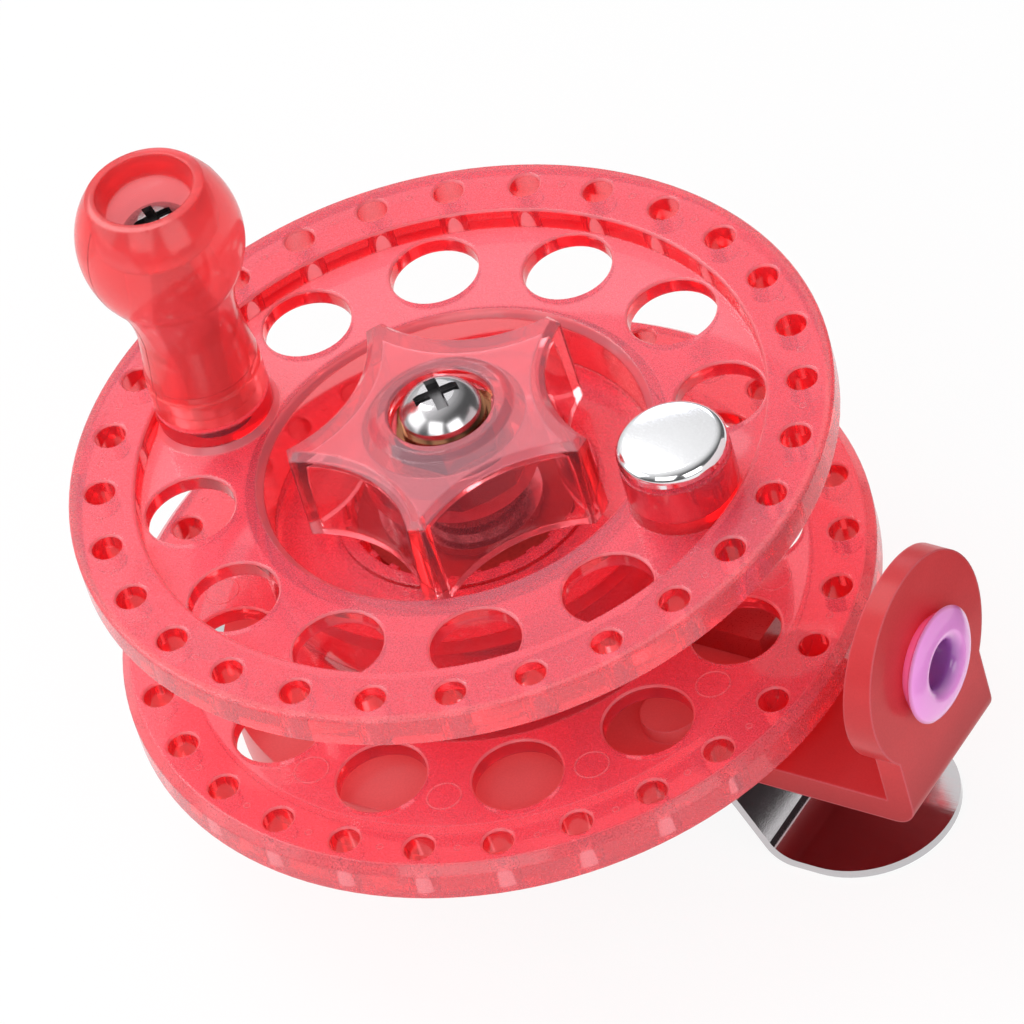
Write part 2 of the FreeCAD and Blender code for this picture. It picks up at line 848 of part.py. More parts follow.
def make_spool_lower_half():
    body = new_body("spool_lower_half")
    middle = s.drum_radius - s.drum_wall / 2
    drum_inner = s.drum_radius - s.drum_wall
    hub_outer = s.bearing_radius + s.hub_wall
    shoulder = s.bearing_radius - s.bearing_shoulder
    ratchet_bottom = arm_top + s.ratchet_floor_gap
    corners = [
        (rim_inner, spool_bottom),
        (s.rim_radius - s.rim_edge, spool_bottom),
        (s.rim_radius, spool_bottom + s.rim_edge),
        (s.rim_radius, lower_line_side - s.rim_chamfer),
        (s.rim_radius - s.rim_chamfer, lower_line_side),
        (s.drum_radius, lower_line_side),
        (s.drum_radius, seam),
        (middle, seam),
        (middle, seam - s.spigot_depth),
        (drum_inner, seam - s.spigot_depth),
        (drum_inner, lower_line_side),
        (hub_outer, lower_line_side),
        (hub_outer, upper_bearing_top),
        (s.bearing_radius, upper_bearing_top),
        (s.bearing_radius, upper_bearing_bottom),
        (shoulder, upper_bearing_bottom),
        (shoulder, lower_bearing_top),
        (s.bearing_radius, lower_bearing_top),
        (s.bearing_radius, lower_bearing_bottom),
        (hub_outer, lower_bearing_bottom),
        (hub_outer, lower_web_bottom),
        (s.ratchet_inner, lower_web_bottom),
        (s.ratchet_inner, ratchet_bottom),
        (s.ratchet_root, ratchet_bottom),
        (s.ratchet_root, lower_web_bottom),
        (rim_inner, lower_web_bottom),
    ]
    revolve(body, corners)
    rim_holes(body, lower_line_side, s.rim_depth)
    sketch = new_sketch(body, "XY_Plane", lower_line_side)
    draw_circle(sketch, web_hole_pitch, 0, web_hole_radius)
    hole = pocket(body, sketch, s.rim_depth)
    repeat_around(body, hole, s.web_hole_count)
    ease_hole_edges(body, s.rim_hole_radius, lower_line_side)
    ease_hole_edges(body, web_hole_radius, lower_line_side)

    pitch = size(360) / s.ratchet_teeth
    phase = s.click_angle - s.spool_turn + pitch / 2
    sunk = s.ratchet_root - 0.3
    tooth = [
        (sunk * cosine(phase - pitch * 0.36), sunk * sine(phase - pitch * 0.36)),
        (s.ratchet_tip * cosine(phase - pitch * 0.1), s.ratchet_tip * sine(phase - pitch * 0.1)),
        (s.ratchet_tip * cosine(phase + pitch * 0.1), s.ratchet_tip * sine(phase + pitch * 0.1)),
        (sunk * cosine(phase + pitch * 0.36), sunk * sine(phase + pitch * 0.36)),
    ]
    sketch = new_sketch(body, "XY_Plane", ratchet_bottom)
    draw_outline(sketch, tooth)
    first = pad(body, sketch, lower_web_bottom - ratchet_bottom + 0.2)
    repeat_around(body, first, s.ratchet_teeth)
    place(body, turn=s.spool_turn)
    keep(body)


def make_spool_upper_half():
    body = new_body("spool_upper_half")
    middle = s.drum_radius - s.drum_wall / 2
    drum_inner = s.drum_radius - s.drum_wall
    cup_outer = s.cup_radius + s.cup_wall
    lip_outer = s.cup_radius + s.cup_lip_width
    lip_top = well_floor_top + s.cup_lip
    corners = [
        (rim_inner + s.rim_edge, spool_top),
        (rim_inner, spool_top - s.rim_edge),
        (rim_inner, web_top),
        (drum_inner + s.well_edge, web_top),
        (drum_inner, web_top - s.well_edge),
        (drum_inner, well_floor_top),
        (lip_outer, well_floor_top),
        (lip_outer, lip_top),
        (s.cup_radius, lip_top),
        (s.cup_radius, cup_floor_top),
        (s.post_radius + s.post_clearance, cup_floor_top),
        (s.post_radius + s.post_clearance, cup_floor_bottom),
        (cup_outer, cup_floor_bottom),
        (cup_outer, well_floor_top - s.well_floor),
        (drum_inner, well_floor_top - s.well_floor),
        (drum_inner, seam - s.spigot_depth),
        (middle, seam - s.spigot_depth),
        (middle, seam),
        (s.drum_radius, seam),
        (s.drum_radius, upper_line_side),
        (s.rim_radius - s.rim_chamfer, upper_line_side),
        (s.rim_radius, upper_line_side + s.rim_chamfer),
        (s.rim_radius, spool_top - s.rim_edge),
        (s.rim_radius - s.rim_edge, spool_top),
    ]
    revolve(body, corners)
    rim_holes(body, spool_top, s.rim_depth)

    step = size(360) / s.web_hole_count
    for start in (step, step + 180):
        sketch = new_sketch(body, "XY_Plane", web_top)
        x, y = web_hole_pitch * cosine(start), web_hole_pitch * sine(start)
        draw_circle(sketch, x, y, web_hole_radius)
        hole = pocket(body, sketch, s.rim_depth)
        repeat_around(body, hole, s.web_hole_count / 2 - 1, size(180) - step * 2)
    ease_hole_edges(body, s.rim_hole_radius, spool_top)
    ease_hole_edges(body, web_hole_radius, web_top)

    sketch = new_sketch(body, "XY_Plane", cup_floor_top)
    half = s.cup_rib_width / 2
    crest = s.cup_radius - s.cup_rib_depth
    root_line = s.cup_radius + 0.3
    draw_outline(sketch, [(crest, -half), (root_line, -half), (root_line, half), (crest, half)])
    rib = pad(body, sketch, s.cup_depth)
    repeat_around(body, rib, s.cup_rib_count)

    sketch = new_sketch(body, "XY_Plane", web_top)
    draw_circle(sketch, -crank_pitch, 0, s.crank_boss_radius + s.crank_boss_flare)
    pad(body, sketch, s.crank_boss_flare, taper=-45)
    sketch = new_sketch(body, "XY_Plane", web_top)
    draw_circle(sketch, -crank_pitch, 0, s.crank_boss_radius)
    pad(body, sketch, crank_boss_depth)
    sketch = new_sketch(body, "XY_Plane", web_top)
    draw_circle(sketch, weight_pitch, 0, s.weight_cup_radius)
    pad(body, sketch, s.weight_cup_height)

    sketch = new_sketch(body, "XY_Plane", web_top + crank_boss_depth)
    draw_circle(sketch, -crank_pitch, 0, s.crank_screw_radius)
    pocket(body, sketch, s.crank_screw_bite)
    sketch = new_sketch(body, "XY_Plane", web_top + s.weight_cup_height)
    draw_circle(sketch, weight_pitch, 0, s.weight_bore)
    pocket(body, sketch, s.weight_cup_height - s.weight_cup_floor)
    place(body, turn=s.spool_turn)
    keep(body)


def on_spool(body, pitch, height, turn):
    angle = s.spool_turn + turn
    place(body, pitch * cosine(angle), pitch * sine(angle), height, angle)


# Crank knob and the screw that it turns on

def make_crank_knob():
    body = new_body("crank_knob")
    bore = s.crank_bush_radius + s.bore_clearance
    foot = crank_boss_depth + s.crank_gap
    collar = foot + s.crank_foot_depth
    stem = collar + s.crank_groove_height
    top = s.crank_height
    step = s.crank_mouth_radius - s.crank_step
    floor = top - s.crank_recess
    corners = [
        (bore, foot),
        (s.crank_foot_radius - s.crank_foot_edge, foot),
        (s.crank_foot_radius, foot + s.crank_foot_edge),
        (s.crank_foot_radius, collar),
        (s.crank_foot_radius - s.crank_groove, collar),
        (s.crank_foot_radius - s.crank_groove, stem),
        (s.crank_stem_radius, stem),
        (s.crank_waist_radius, s.crank_waist_height),
        (s.crank_neck_radius, s.crank_neck_height),
        (s.crank_lip_radius, top - s.crank_lip_drop),
        (s.crank_mouth_radius, top),
        (step, top - s.crank_step_depth),
        (s.crank_recess_radius, floor),
        (bore, floor),
    ]
    arcs = {
        1: s.crank_foot_edge,
        6: -s.crank_stem_curve,
        7: -s.crank_neck_curve,
        8: s.crank_bulb_curve,
        9: s.crank_lip_curve,
    }
    revolve(body, corners, arcs)
    on_spool(body, crank_pitch, web_top, size(180))
    keep(body)


def make_crank_fastening():
    boss = crank_boss_depth
    washer_bottom = s.crank_height - s.crank_recess + s.bore_clearance
    washer_top = washer_bottom + s.crank_washer_depth
    bush = ring("crank_bush", s.crank_screw_radius, s.crank_bush_radius, boss, washer_bottom)
    washer = ring("crank_washer", s.crank_screw_radius, s.crank_washer_radius, washer_bottom, washer_top)
    screw = new_body("crank_screw")
    head_top = washer_top + s.crank_screw_head_depth
    shoulder = washer_top + s.crank_screw_head_depth * 0.4
    corners = [
        (size(0), boss - s.crank_screw_bite),
        (s.crank_screw_radius, boss - s.crank_screw_bite),
        (s.crank_screw_radius, washer_top),
        (s.crank_screw_head, washer_top),
        (s.crank_screw_head, shoulder),
        (s.crank_screw_head * 0.45, head_top),
        (size(0), head_top),
    ]
    revolve(screw, corners, {4: s.crank_screw_head})
    cross_recess(screw, head_top, s.crank_screw_head)
    for body in (bush, washer, screw):
        on_spool(body, crank_pitch, web_top, size(180))
        keep(body)


def make_counterweight():
    """Solid plug in the cup, with the domed cap on top in one piece."""
    body = new_body("counterweight")
    cup = s.weight_cup_height
    cap_top = cup + s.weight_cap_depth
    shoulder = cap_top - s.weight_cap_crown
    crown_radius = s.weight_cap_radius - s.weight_cap_edge
    crown_curve = (crown_radius * crown_radius + s.weight_cap_crown * s.weight_cap_crown)
    crown_curve = crown_curve / (s.weight_cap_crown * 2)
    plug = s.weight_bore - s.weight_fit
    corners = [
        (size(0), cup - s.weight_plug_depth),
        (plug, cup - s.weight_plug_depth),
        (plug, cup),
        (s.weight_cap_radius - s.weight_cap_foot, cup),
        (s.weight_cap_radius, cup + s.weight_cap_foot),
        (s.weight_cap_radius, shoulder - s.weight_cap_edge),
        (crown_radius, shoulder),
        (size(0), cap_top),
    ]
    revolve(body, corners, {5: s.weight_cap_edge * 1.1, 6: crown_curve})
    on_spool(body, weight_pitch, web_top, size(0))
    keep(body)


# Post and bearings

def make_post():
    body = new_body("axle_post")
    sketch = new_sketch(body, "XY_Plane", arm_bottom)
    draw_outline(sketch, hexagon(s.post_flange))
    pad(body, sketch, s.post_flange_depth)
    sketch = new_sketch(body, "XY_Plane", arm_bottom)
    draw_circle(sketch, 0, 0, s.post_radius)
    pad(body, sketch, post_top - arm_bottom)
    for side in (1, -1):
        sketch = new_sketch(body, "XY_Plane", post_top)
        near, far = s.post_flat * side, (s.post_radius + 1) * side
        wide = s.post_radius + 1
        draw_outline(sketch, [(near, -wide), (far, -wide), (far, wide), (near, wide)])
        pocket(body, sketch, post_top - friction_bottom - 0.2)
    sketch = new_sketch(body, "XY_Plane", post_top)
    draw_circle(sketch, 0, 0, s.cap_screw_radius)
    pocket(body, sketch, s.cap_screw_reach)
    keep(body)
    keep(ring("axle_shim", s.post_radius, s.shim_radius, arm_top, lower_bearing_bottom))
    spacer_outer = s.post_radius + s.bearing_inner_ring
    keep(ring("bearing_spacer", s.post_radius, spacer_outer, lower_bearing_top, upper_bearing_bottom))


def make_bearing(name, bottom, top):
    """Shielded bearing: an inner ring and an outer ring whose shields hide the balls."""
    inner_outer = s.post_radius + s.bearing_inner_ring
    keep(ring(name + "_inner_ring", s.post_radius, inner_outer, bottom, top))
    body = new_body(name + "_outer_ring")
    race = s.bearing_radius - s.bearing_outer_ring
    shield = inner_outer + s.bearing_shield_gap
    corners = [
        (s.bearing_radius, bottom),
        (s.bearing_radius, top),
        (shield, top),
        (shield, top - s.bearing_shield),
        (race, top - s.bearing_shield),
        (race, bottom + s.bearing_shield),
        (shield, bottom + s.bearing_shield),
        (shield, bottom),
    ]
    revolve(body, corners)
    keep(body)


# Drag stack in the spool's cup

def make_drag_stack():
    friction = s.washer_depth
    lower = ring("lower_friction_washer", s.washer_bore, s.washer_radius, friction_bottom,
                 friction_bottom + friction)
    upper = ring("upper_friction_washer", s.washer_bore, s.washer_radius, upper_friction_bottom, stack_top)
    keep(lower)
    keep(upper)
    keyed_washer("keyed_drag_washer", s.washer_radius - 0.4, keyed_bottom, s.washer_depth)
    keyed_washer("pressure_washer", s.pressure_radius, pressure_bottom, s.pressure_depth)

    body = new_body("eared_drag_washer")
    revolve(body, [
        (s.washer_bore, eared_bottom),
        (s.washer_radius, eared_bottom),
        (s.washer_radius, upper_friction_bottom),
        (s.washer_bore, upper_friction_bottom),
    ])
    sketch = new_sketch(body, "XY_Plane", eared_bottom)
    half, inner = s.ear_width / 2, s.washer_radius - 0.5
    draw_outline(sketch, [(inner, -half), (s.ear_radius, -half), (s.ear_radius, half), (inner, half)])
    ear = pad(body, sketch, s.washer_depth)
    repeat_around(body, ear, 4)
    place(body, turn=s.spool_turn + size(180) / s.cup_rib_count)
    keep(body)

    springs = []
    for number in range(int(s.spring_count.value)):
        springs.append(make_disc_spring(number))
    group = doc.addObject("Part::Compound", "disc_springs")
    group.Links = springs
    keep(group, "disc_springs")


def keyed_washer(label, radius, bottom, depth):
    """Washer whose hole has two flats, so it can't turn on the post."""
    body = new_body(label)
    sketch = new_sketch(body, "XY_Plane", bottom)
    draw_circle(sketch, 0, 0, radius)
    pad(body, sketch, depth)
    sketch = new_sketch(body, "XY_Plane", bottom + depth)
    clear = s.bore_clearance
    corners, arcs = double_d(s.post_radius + clear, s.post_flat + clear)
    draw_outline(sketch, corners, arcs)
    pocket(body, sketch, depth * 2)
    keep(body)


def make_disc_spring(number):
    """Coned spring washer; every second one lies the other way up."""
    body = new_body("disc_spring_%d" % (number + 1))
    bottom = spring_bottom + number * (s.spring_sheet + s.spring_cone)
    inner_rise, outer_rise = (s.spring_cone, size(0)) if number % 2 == 0 else (size(0), s.spring_cone)
    revolve(body, [
        (s.spring_bore, bottom + inner_rise),
        (s.spring_radius, bottom + outer_rise),
        (s.spring_radius, bottom + outer_rise + s.spring_sheet),
        (s.spring_bore, bottom + inner_rise + s.spring_sheet),
    ])
    return body


# Star knob

def scallop_cone(number, growth):
    """Cone that scoops one side of the star; growth widens it for the inside of the wall."""
    cone = doc.addObject("Part::Cone", "scallop")
    angle = s.star_turn + 36 + 72 * number
    shrink = s.star_depth * (sine(s.star_draft) / cosine(s.star_draft))
    cone.setExpression("Radius1", (s.star_scallop_radius - shrink + growth).formula)
    cone.setExpression("Radius2", (s.star_scallop_radius + growth).formula)
    cone.setExpression("Height", s.star_depth.formula)
    x, y = s.star_scallop_centre * cosine(angle), s.star_scallop_centre * sine(angle)
    place(cone, x, y, star_bottom, angle)
    return cone


def cylinder(name, radius, bottom, height):
    piece = doc.addObject("Part::Cylinder", name)
    piece.setExpression("Radius", radius.formula)
    piece.setExpression("Height", height.formula)
    place(piece, z=bottom, turn=s.star_turn)
    return piece


def cut(name, base, tool):
    piece = doc.addObject("Part::Cut", name)
    piece.Base = base
    piece.Tool = tool
    return piece


def star_of(name, radius, height, growth):
    """Five-pointed block: a round blank with five scoops out of its side."""
    block = cylinder(name + "_blank", radius, star_bottom, height)
    for number in range(5):
        block = cut(name, block, scallop_cone(number, growth))
    return block


def make_star_knob():
    outer = star_of("star_block", s.star_radius, s.star_depth, size(0))
    doc.recompute()
    edges = []
    for number, edge in enumerate(outer.Shape.Edges, start=1):
        box = edge.BoundBox
        if box.ZMin > star_top.value - 1e-4:
            edges.append((number, s.star_edge.value, s.star_edge.value))
    bevelled = doc.addObject("Part::Chamfer", "star_bevelled")
    bevelled.Base = outer
    bevelled.Edges = edges
    hollow_depth = s.star_depth - s.star_roof
    inside = star_of("star_inside", s.star_radius - s.star_wall, hollow_depth, s.star_wall)
    boss = cylinder("star_boss", s.star_boss_radius, star_boss_bottom, s.star_depth)
    hollow = cut("star_hollow", inside, boss)
    collar = new_body("star_collar")
    revolve(collar, [
        (size(0), star_top - s.star_roof / 2),
        (s.star_collar_foot, star_top - s.star_roof / 2),
        (s.star_collar_foot, star_top),
        (s.star_collar_radius, star_top + s.star_collar_height),
        (size(0), star_top + s.star_collar_height),
    ])
    capped = doc.addObject("Part::Fuse", "star_capped")
    capped.Base = bevelled
    capped.Tool = collar
    shell = cut("star_shell", capped, hollow)

    bore = new_body("star_bore")
    insert_floor = star_boss_bottom - 1
    sketch = new_sketch(bore, "XY_Plane", insert_floor)
    draw_outline(sketch, hexagon(s.insert_hex))
    pad(bore, sketch, star_well_floor - insert_floor)
    well = new_body("star_well")
    mouth = star_top + s.star_collar_height
    edge = s.star_mouth_edge
    revolve(well, [
        (size(0), star_well_floor),
        (s.star_well_radius, star_well_floor),
        (s.star_well_radius, mouth - edge),
        (s.star_well_radius + edge, mouth),
        (s.star_well_radius + edge, mouth + 1),
        (size(0), mouth + 1),
    ])
    openings = doc.addObject("Part::MultiFuse", "star_openings")
    openings.Shapes = [bore, well]
    keep(cut("star_knob", shell, openings), "star_knob")

    body = new_body("star_knob_insert")
    sketch = new_sketch(body, "XY_Plane", star_boss_bottom)
    draw_outline(sketch, hexagon(s.insert_hex))
    pad(body, sketch, star_well_floor - star_boss_bottom)
    sketch = new_sketch(body, "XY_Plane", star_well_floor)
    draw_circle(sketch, 0, 0, s.post_radius + s.bore_clearance)
    pocket(body, sketch, star_well_floor - star_boss_bottom)
    keep(body)


def make_retaining_screw():
    washer_top = post_top + s.cap_washer_depth
    keep(ring("retaining_washer", s.cap_screw_radius, s.cap_washer_radius, post_top, washer_top))
    body = new_body("retaining_screw")
    head_top = washer_top + s.cap_screw_head_depth
    corners = [
        (size(0), post_top - s.cap_screw_reach),
        (s.cap_screw_radius, post_top - s.cap_screw_reach),
        (s.cap_screw_radius, washer_top),
        (s.cap_screw_head, washer_top),
        (s.cap_screw_head, washer_top + s.cap_screw_head_side),
        (s.cap_screw_head * 0.45, head_top),
        (size(0), head_top),
    ]
    revolve(body, corners, {4: s.cap_screw_head})
    cross_recess(body, head_top, s.cap_screw_head)
    keep(body)


make_rod_foot()
make_foot_screws()
make_frame_base()
make_line_guide_ring()
make_click_slide()
make_post()
make_bearing("lower_bearing", lower_bearing_bottom, lower_bearing_top)
make_bearing("upper_bearing", upper_bearing_bottom, upper_bearing_top)
make_spool_lower_half()
make_spool_upper_half()
make_crank_knob()
make_crank_fastening()
make_counterweight()
make_drag_stack()
make_star_knob()
make_retaining_screw()


# Check every object, then write one file for each piece

doc.recompute()
for thing in doc.Objects:
    if "Invalid" in thing.State or "Error" in thing.State:
        raise RuntimeError("failed: %s %s" % (thing.Name, thing.State))
for piece in finished:
    if piece.Shape.isNull() or not piece.Shape.isValid():
        raise RuntimeError("bad shape: " + piece.Label)
for piece in finished:
    piece.Shape.exportStep("parts/%s.step" % piece.Label)
    print("%-24s %d solid, %9.2f mm3" % (piece.Label, len(piece.Shape.Solids), piece.Shape.Volume))
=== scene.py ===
"""Looks of a side-cast fishing reel in clear red plastic: finishes, moulding marks, stage and camera.

The file is laid out as an add-on: sizes and colours are in property groups, each group of pieces has
an operator, and a panel in the sidebar lists them. Run as a script it calls them all in order.
"""

import math

import bpy
from mathutils import Euler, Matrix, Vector
from mathutils.bvhtree import BVHTree


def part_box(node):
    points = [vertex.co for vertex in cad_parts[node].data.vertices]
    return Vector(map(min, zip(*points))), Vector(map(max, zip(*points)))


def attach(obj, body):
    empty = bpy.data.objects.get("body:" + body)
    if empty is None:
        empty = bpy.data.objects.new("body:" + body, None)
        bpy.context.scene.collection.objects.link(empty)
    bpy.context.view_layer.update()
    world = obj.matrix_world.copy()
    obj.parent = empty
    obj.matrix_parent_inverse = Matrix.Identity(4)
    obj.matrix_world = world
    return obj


bl_info = {
    "name": "Side-cast fishing reel",
    "version": (1, 0, 0),
    "blender": (4, 5, 0),
    "location": "3D View > Sidebar > Reel",
    "description": "Finishes, moulding marks, stage and camera for a clear red side-cast fishing reel",
    "category": "Object",
}

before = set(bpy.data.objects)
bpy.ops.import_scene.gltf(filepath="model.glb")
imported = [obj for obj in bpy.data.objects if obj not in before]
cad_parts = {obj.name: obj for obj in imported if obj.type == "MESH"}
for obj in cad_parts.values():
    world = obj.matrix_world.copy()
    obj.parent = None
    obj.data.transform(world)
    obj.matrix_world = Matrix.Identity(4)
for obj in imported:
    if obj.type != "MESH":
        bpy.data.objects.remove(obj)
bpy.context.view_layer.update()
MM = 0.001
LARGE_HOLES = 12  # in the lower flange, with an ejector mark between each two
SMALL_HOLES = 28  # in each rim, with a pip between each two
EJECTOR_STEPS, PIP_STEPS = 36, 16  # corners round each ejector mark and pip
SEAM_STEPS = 60  # lengths that the knob's parting line is laid in, from near its foot to near its top
SEAM_FROM, SEAM_SPAN = 0.06, 0.9

# Camera, fitted to the photograph: place in metres, turn in degrees and lens in millimetres.
CAMERA_PLACE = (0.40560414, -0.43724661, 0.58388461)
CAMERA_TURN = (45.466858, 12.409309, 30.612535)
CAMERA_LENS = 344.4332
SENSOR_WIDTH = 36.0

# Lamps: place, width and height in metres, and tint. Their powers are in the stage's sizes.
LAMPS = {
    "key": ((-0.31, 0.08, 0.5), 0.35, 0.35, (1.0, 1.0, 1.0)),
    "left": ((-0.17, -0.13, 0.16), 0.18, 0.18, (1.0, 1.0, 1.0)),
    "fill": ((0.56, -0.24, 0.3), 0.4, 0.4, (1.0, 1.0, 1.0)),
    "front": ((0.12, -0.55, 0.4), 0.4, 0.4, (1.0, 1.0, 1.0)),
    "back": ((-0.3, 0.5, 0.3), 0.3, 0.2, (0.85, 0.88, 1.0)),
}
LAMP_AIM = (0, 0, 25 * MM)
KEY_SIDE = (-0.6, 0.12, 0.79)  # where gloss and metal mirror the brightest part of the surroundings
KEY_SIDE_GLOW = 1.15

# Floor: its half width, how far it lies under the foot, and how bright camera rays and mirroring faces
# # see it. What shows of it through the plastic carries a painted shadow: dim under the base, where little
# # light reaches, and full from the far radius on.
FLOOR_HALF = 1.5
FLOOR_DROP = 0.02 * MM
FLOOR_SEEN, FLOOR_MIRRORED, FLOOR_PAINTED_SHADOW = 0.9, 0.85, 0.1
UNDER_BASE = (15 * MM, 27 * MM)

# Cards beside the foot that only gloss and metal see: place, heading, half width, and for each one its
# heights and colour. The foot's slope mirrors the dark one below and the pale one above.
CARD_PLACE = (60 * MM, 16 * MM, 0.0)
CARD_HEADING = (0.84, 0.53, 0.0)
CARD_HALF = 30 * MM
CARDS = {"dark_card": (0.0, 14 * MM, "3a3638"), "pale_card": (14 * MM, 60 * MM, "f4f4f4")}

# The radii over which the ring's colour goes from the bore's painted shade to the face, and from the face to
# the side's painted shade.
RING_BORE, RING_SIDE = (1.9 * MM, 2.9 * MM), (4.7 * MM, 4.95 * MM)

# Where a share of a face's normal that points up makes it a wall, a chamfer or fillet, or a flat.
WALL_TO_FLAT = (0.15, 0.6)
WALL_TO_EDGE = (0.05, 0.3)
EDGE_TO_FLAT = (0.85, 0.98)
SHARP_EDGE = (0.99, 0.85)  # cosine between a face's own normal and the rounded one
CLOUD = (0.3, 0.7)  # the span of a pattern's greys that most of it lies in
FINE_CLOUD = (0.35, 0.65)
OFF_TO_ON, ON_TO_OFF = (0.0, 1.0), (1.0, 0.0)


def linear(code):
    """Linear colour, with alpha, of an sRGB hex code such as c23a40."""
    parts = [int(code[at : at + 2], 16) / 255 for at in (0, 2, 4)]
    return [p / 12.92 if p <= 0.04045 else ((p + 0.055) / 1.055) ** 2.4 for p in parts] + [1.0]


def colour(label, code, about):
    return bpy.props.FloatVectorProperty(
        name=label, description=about, subtype="COLOR", size=4, min=0.0, max=1.0, default=linear(code)
    )


def length(label, millimetres, about):
    return bpy.props.FloatProperty(
        name=label, description=about, unit="LENGTH", precision=6, min=0.0, default=millimetres * MM
    )


def angle(label, degrees, about):
    size = math.radians(degrees)
    return bpy.props.FloatProperty(name=label, description=about, subtype="ANGLE", default=size)


def amount(label, number, about):
    return bpy.props.FloatProperty(name=label, description=about, min=0.0, default=number)


class ReelColours(bpy.types.PropertyGroup):
    """Colours of the reel's finishes."""

    spool: colour("Spool", "ec728a", "Surface tint of the clear red spool")
    crank: colour("Crank knob", "f65c60", "Surface tint of the frosted crank knob")
    star: colour("Star knob", "f8a8b8", "Surface tint of the polished star knob")
    base: colour("Base", "d24044", "Surface tint of the base, arm and upright")
    # Painted light: the disc's paler tint lightens the spool's reddened shade on it.
    base_disc_painted_light: colour("Base's disc", "d67376", "Surface tint of the base's disc, under the spool")
    base_depth: colour("Base in depth", "fa1014", "Colour that light takes on inside the base")
    skin: colour("Plastic's face", "ffccd2", "Tint at each face of the clear plastic")
    cast: colour("Plastic's shadow", "fff0f1", "Tint that each face gives the shadow of the clear plastic")
    depth: colour("Plastic in depth", "fd2830", "Colour that light takes on inside the clear plastic")
    guide: colour("Line guide", "f09ae4", "Lilac glaze of the line guide's ring")
    # Painted shade in the ring's bore and on its side, where it meets the upright.
    guide_bore_painted_shade: colour("Line guide's bore", "8a4aa0", "Deeper violet in the ring's bore")
    guide_side_painted_shade: colour("Line guide's side", "c04878", "Rosy side of the ring, where the glaze is thin")
    edge: colour("Edges", "f28c98", "Pale light that the spool's chamfers and fillets catch")
    mark: colour("Mould marks", "f88c96", "Fine lines that the mould leaves on the plastic")
    chrome: colour("Chrome", "f0f0f2", "Bright chrome plate")
    steel: colour("Stainless steel", "c8c6c8", "Polished stainless steel")
    brass: colour("Brass", "8e6044", "Turned brass")
    spring: colour("Spring steel", "8c8886", "Dark tempered spring steel")
    fibre: colour("Friction fibre", "8a2c28", "Pressed friction washers")
    floor: colour("Floor", "f4f4f4", "Pale floor of the studio")


class ReelSizes(bpy.types.PropertyGroup):
    """Real sizes that the patterns are drawn from."""

    satin_grain: length("Satin grain", 0.16, "Grain of the mould's satin face on the flanges' rims")
    flow_width: length("Flow marks", 6.0, "Width of the soft streaks that the moulding leaves")
    brush_line: length("Brushed line", 0.12, "Width of the rolling lines in the steel sheet")
    turning: length("Turning lines", 0.15, "Pitch of the lathe's lines on turned parts")
    edge_round: length("Edge rounding", 0.3, "Rounding that the eye sees on the plastic's sharp edges")
    tint: amount("Tint", 540.0, "Absorption of the clear plastic per metre")
    ejector_radius: length("Ejector mark", 1.45, "Radius of the round ejector marks on the lower flange")
    ejector_pitch: length("Ejector marks' circle", 24.15, "Distance of those marks from the spool's axis")
    pip_radius: length("Rim pip", 0.28, "Radius of the small round marks between the rim's holes")
    pip_pitch: length("Rim pips' circle", 30.0, "Distance of the small marks from the spool's axis")
    mark_height: length("Mark height", 0.07, "Height of the fine lines that the mould leaves")
    mark_width: length("Mark width", 0.2, "Width of those lines")
    flange_top: length("Lower flange", 15.8, "Height of the lower flange's upper face and rim")
    rim_top: length("Upper rim", 33.7, "Height of the upper rim's face")
    first_hole: angle("First hole", 5.33, "Direction of the spool's first holes at rest")
    seam: angle("Knob's seam", -113.4, "Direction of the parting line down the crank knob")


class ReelStage(bpy.types.PropertyGroup):
    """Floor, light and camera."""

    world: amount("World", 0.35, "Even light from all sides")
    horizon: amount("Dark side", 0.12, "Brightness that gloss and metal mirror away from the key")
    key: amount("Key", 1.75, "Power of the large lamp above, in watts")
    left: amount("Left", 0.14, "Power of the near lamp at the left, in watts")
    fill: amount("Fill", 1.3, "Power of the lamp at the right, in watts")
    front: amount("Front", 1.2, "Power of the lamp at the front, in watts")
    back: amount("Back", 0.35, "Power of the lamp behind, in watts")


def add(tree, kind, inputs=(), **settings):
    """New node in tree. inputs lists what its sockets take, in their order, or maps a socket's name or
    number to it: a value, a socket, or a node, which stands for the first output that it has in use."""
    node = tree.nodes.new(kind)
    for name, value in settings.items():
        setattr(node, name, value)
    for name, value in inputs.items() if isinstance(inputs, dict) else enumerate(inputs):
        if isinstance(value, bpy.types.Node):
            value = next(socket for socket in value.outputs if socket.enabled)
        if isinstance(value, bpy.types.NodeSocket):
            tree.links.new(value, node.inputs[name])
        else:
            node.inputs[name].default_value = value
    return node


def new_material(name):
    material = bpy.data.materials.new(name)
    material.use_nodes = True
    material.node_tree.nodes.clear()
    return material, material.node_tree


def pattern(tree, size, stretch=(1, 1, 1), detail=2.0):
    """Grey cloud whose blobs are about size metres across, in the piece's own metres."""
    place = add(tree, "ShaderNodeTexCoord").outputs["Object"]
    scaled = add(tree, "ShaderNodeMapping", {"Vector": place, "Scale": [s / size for s in stretch]})
    return add(tree, "ShaderNodeTexNoise", {"Vector": scaled, "Scale": 1.0, "Detail": detail})


def tone(shade, factor):
    return [min(1.0, c * factor) for c in list(shade)[:3]] + [1.0]


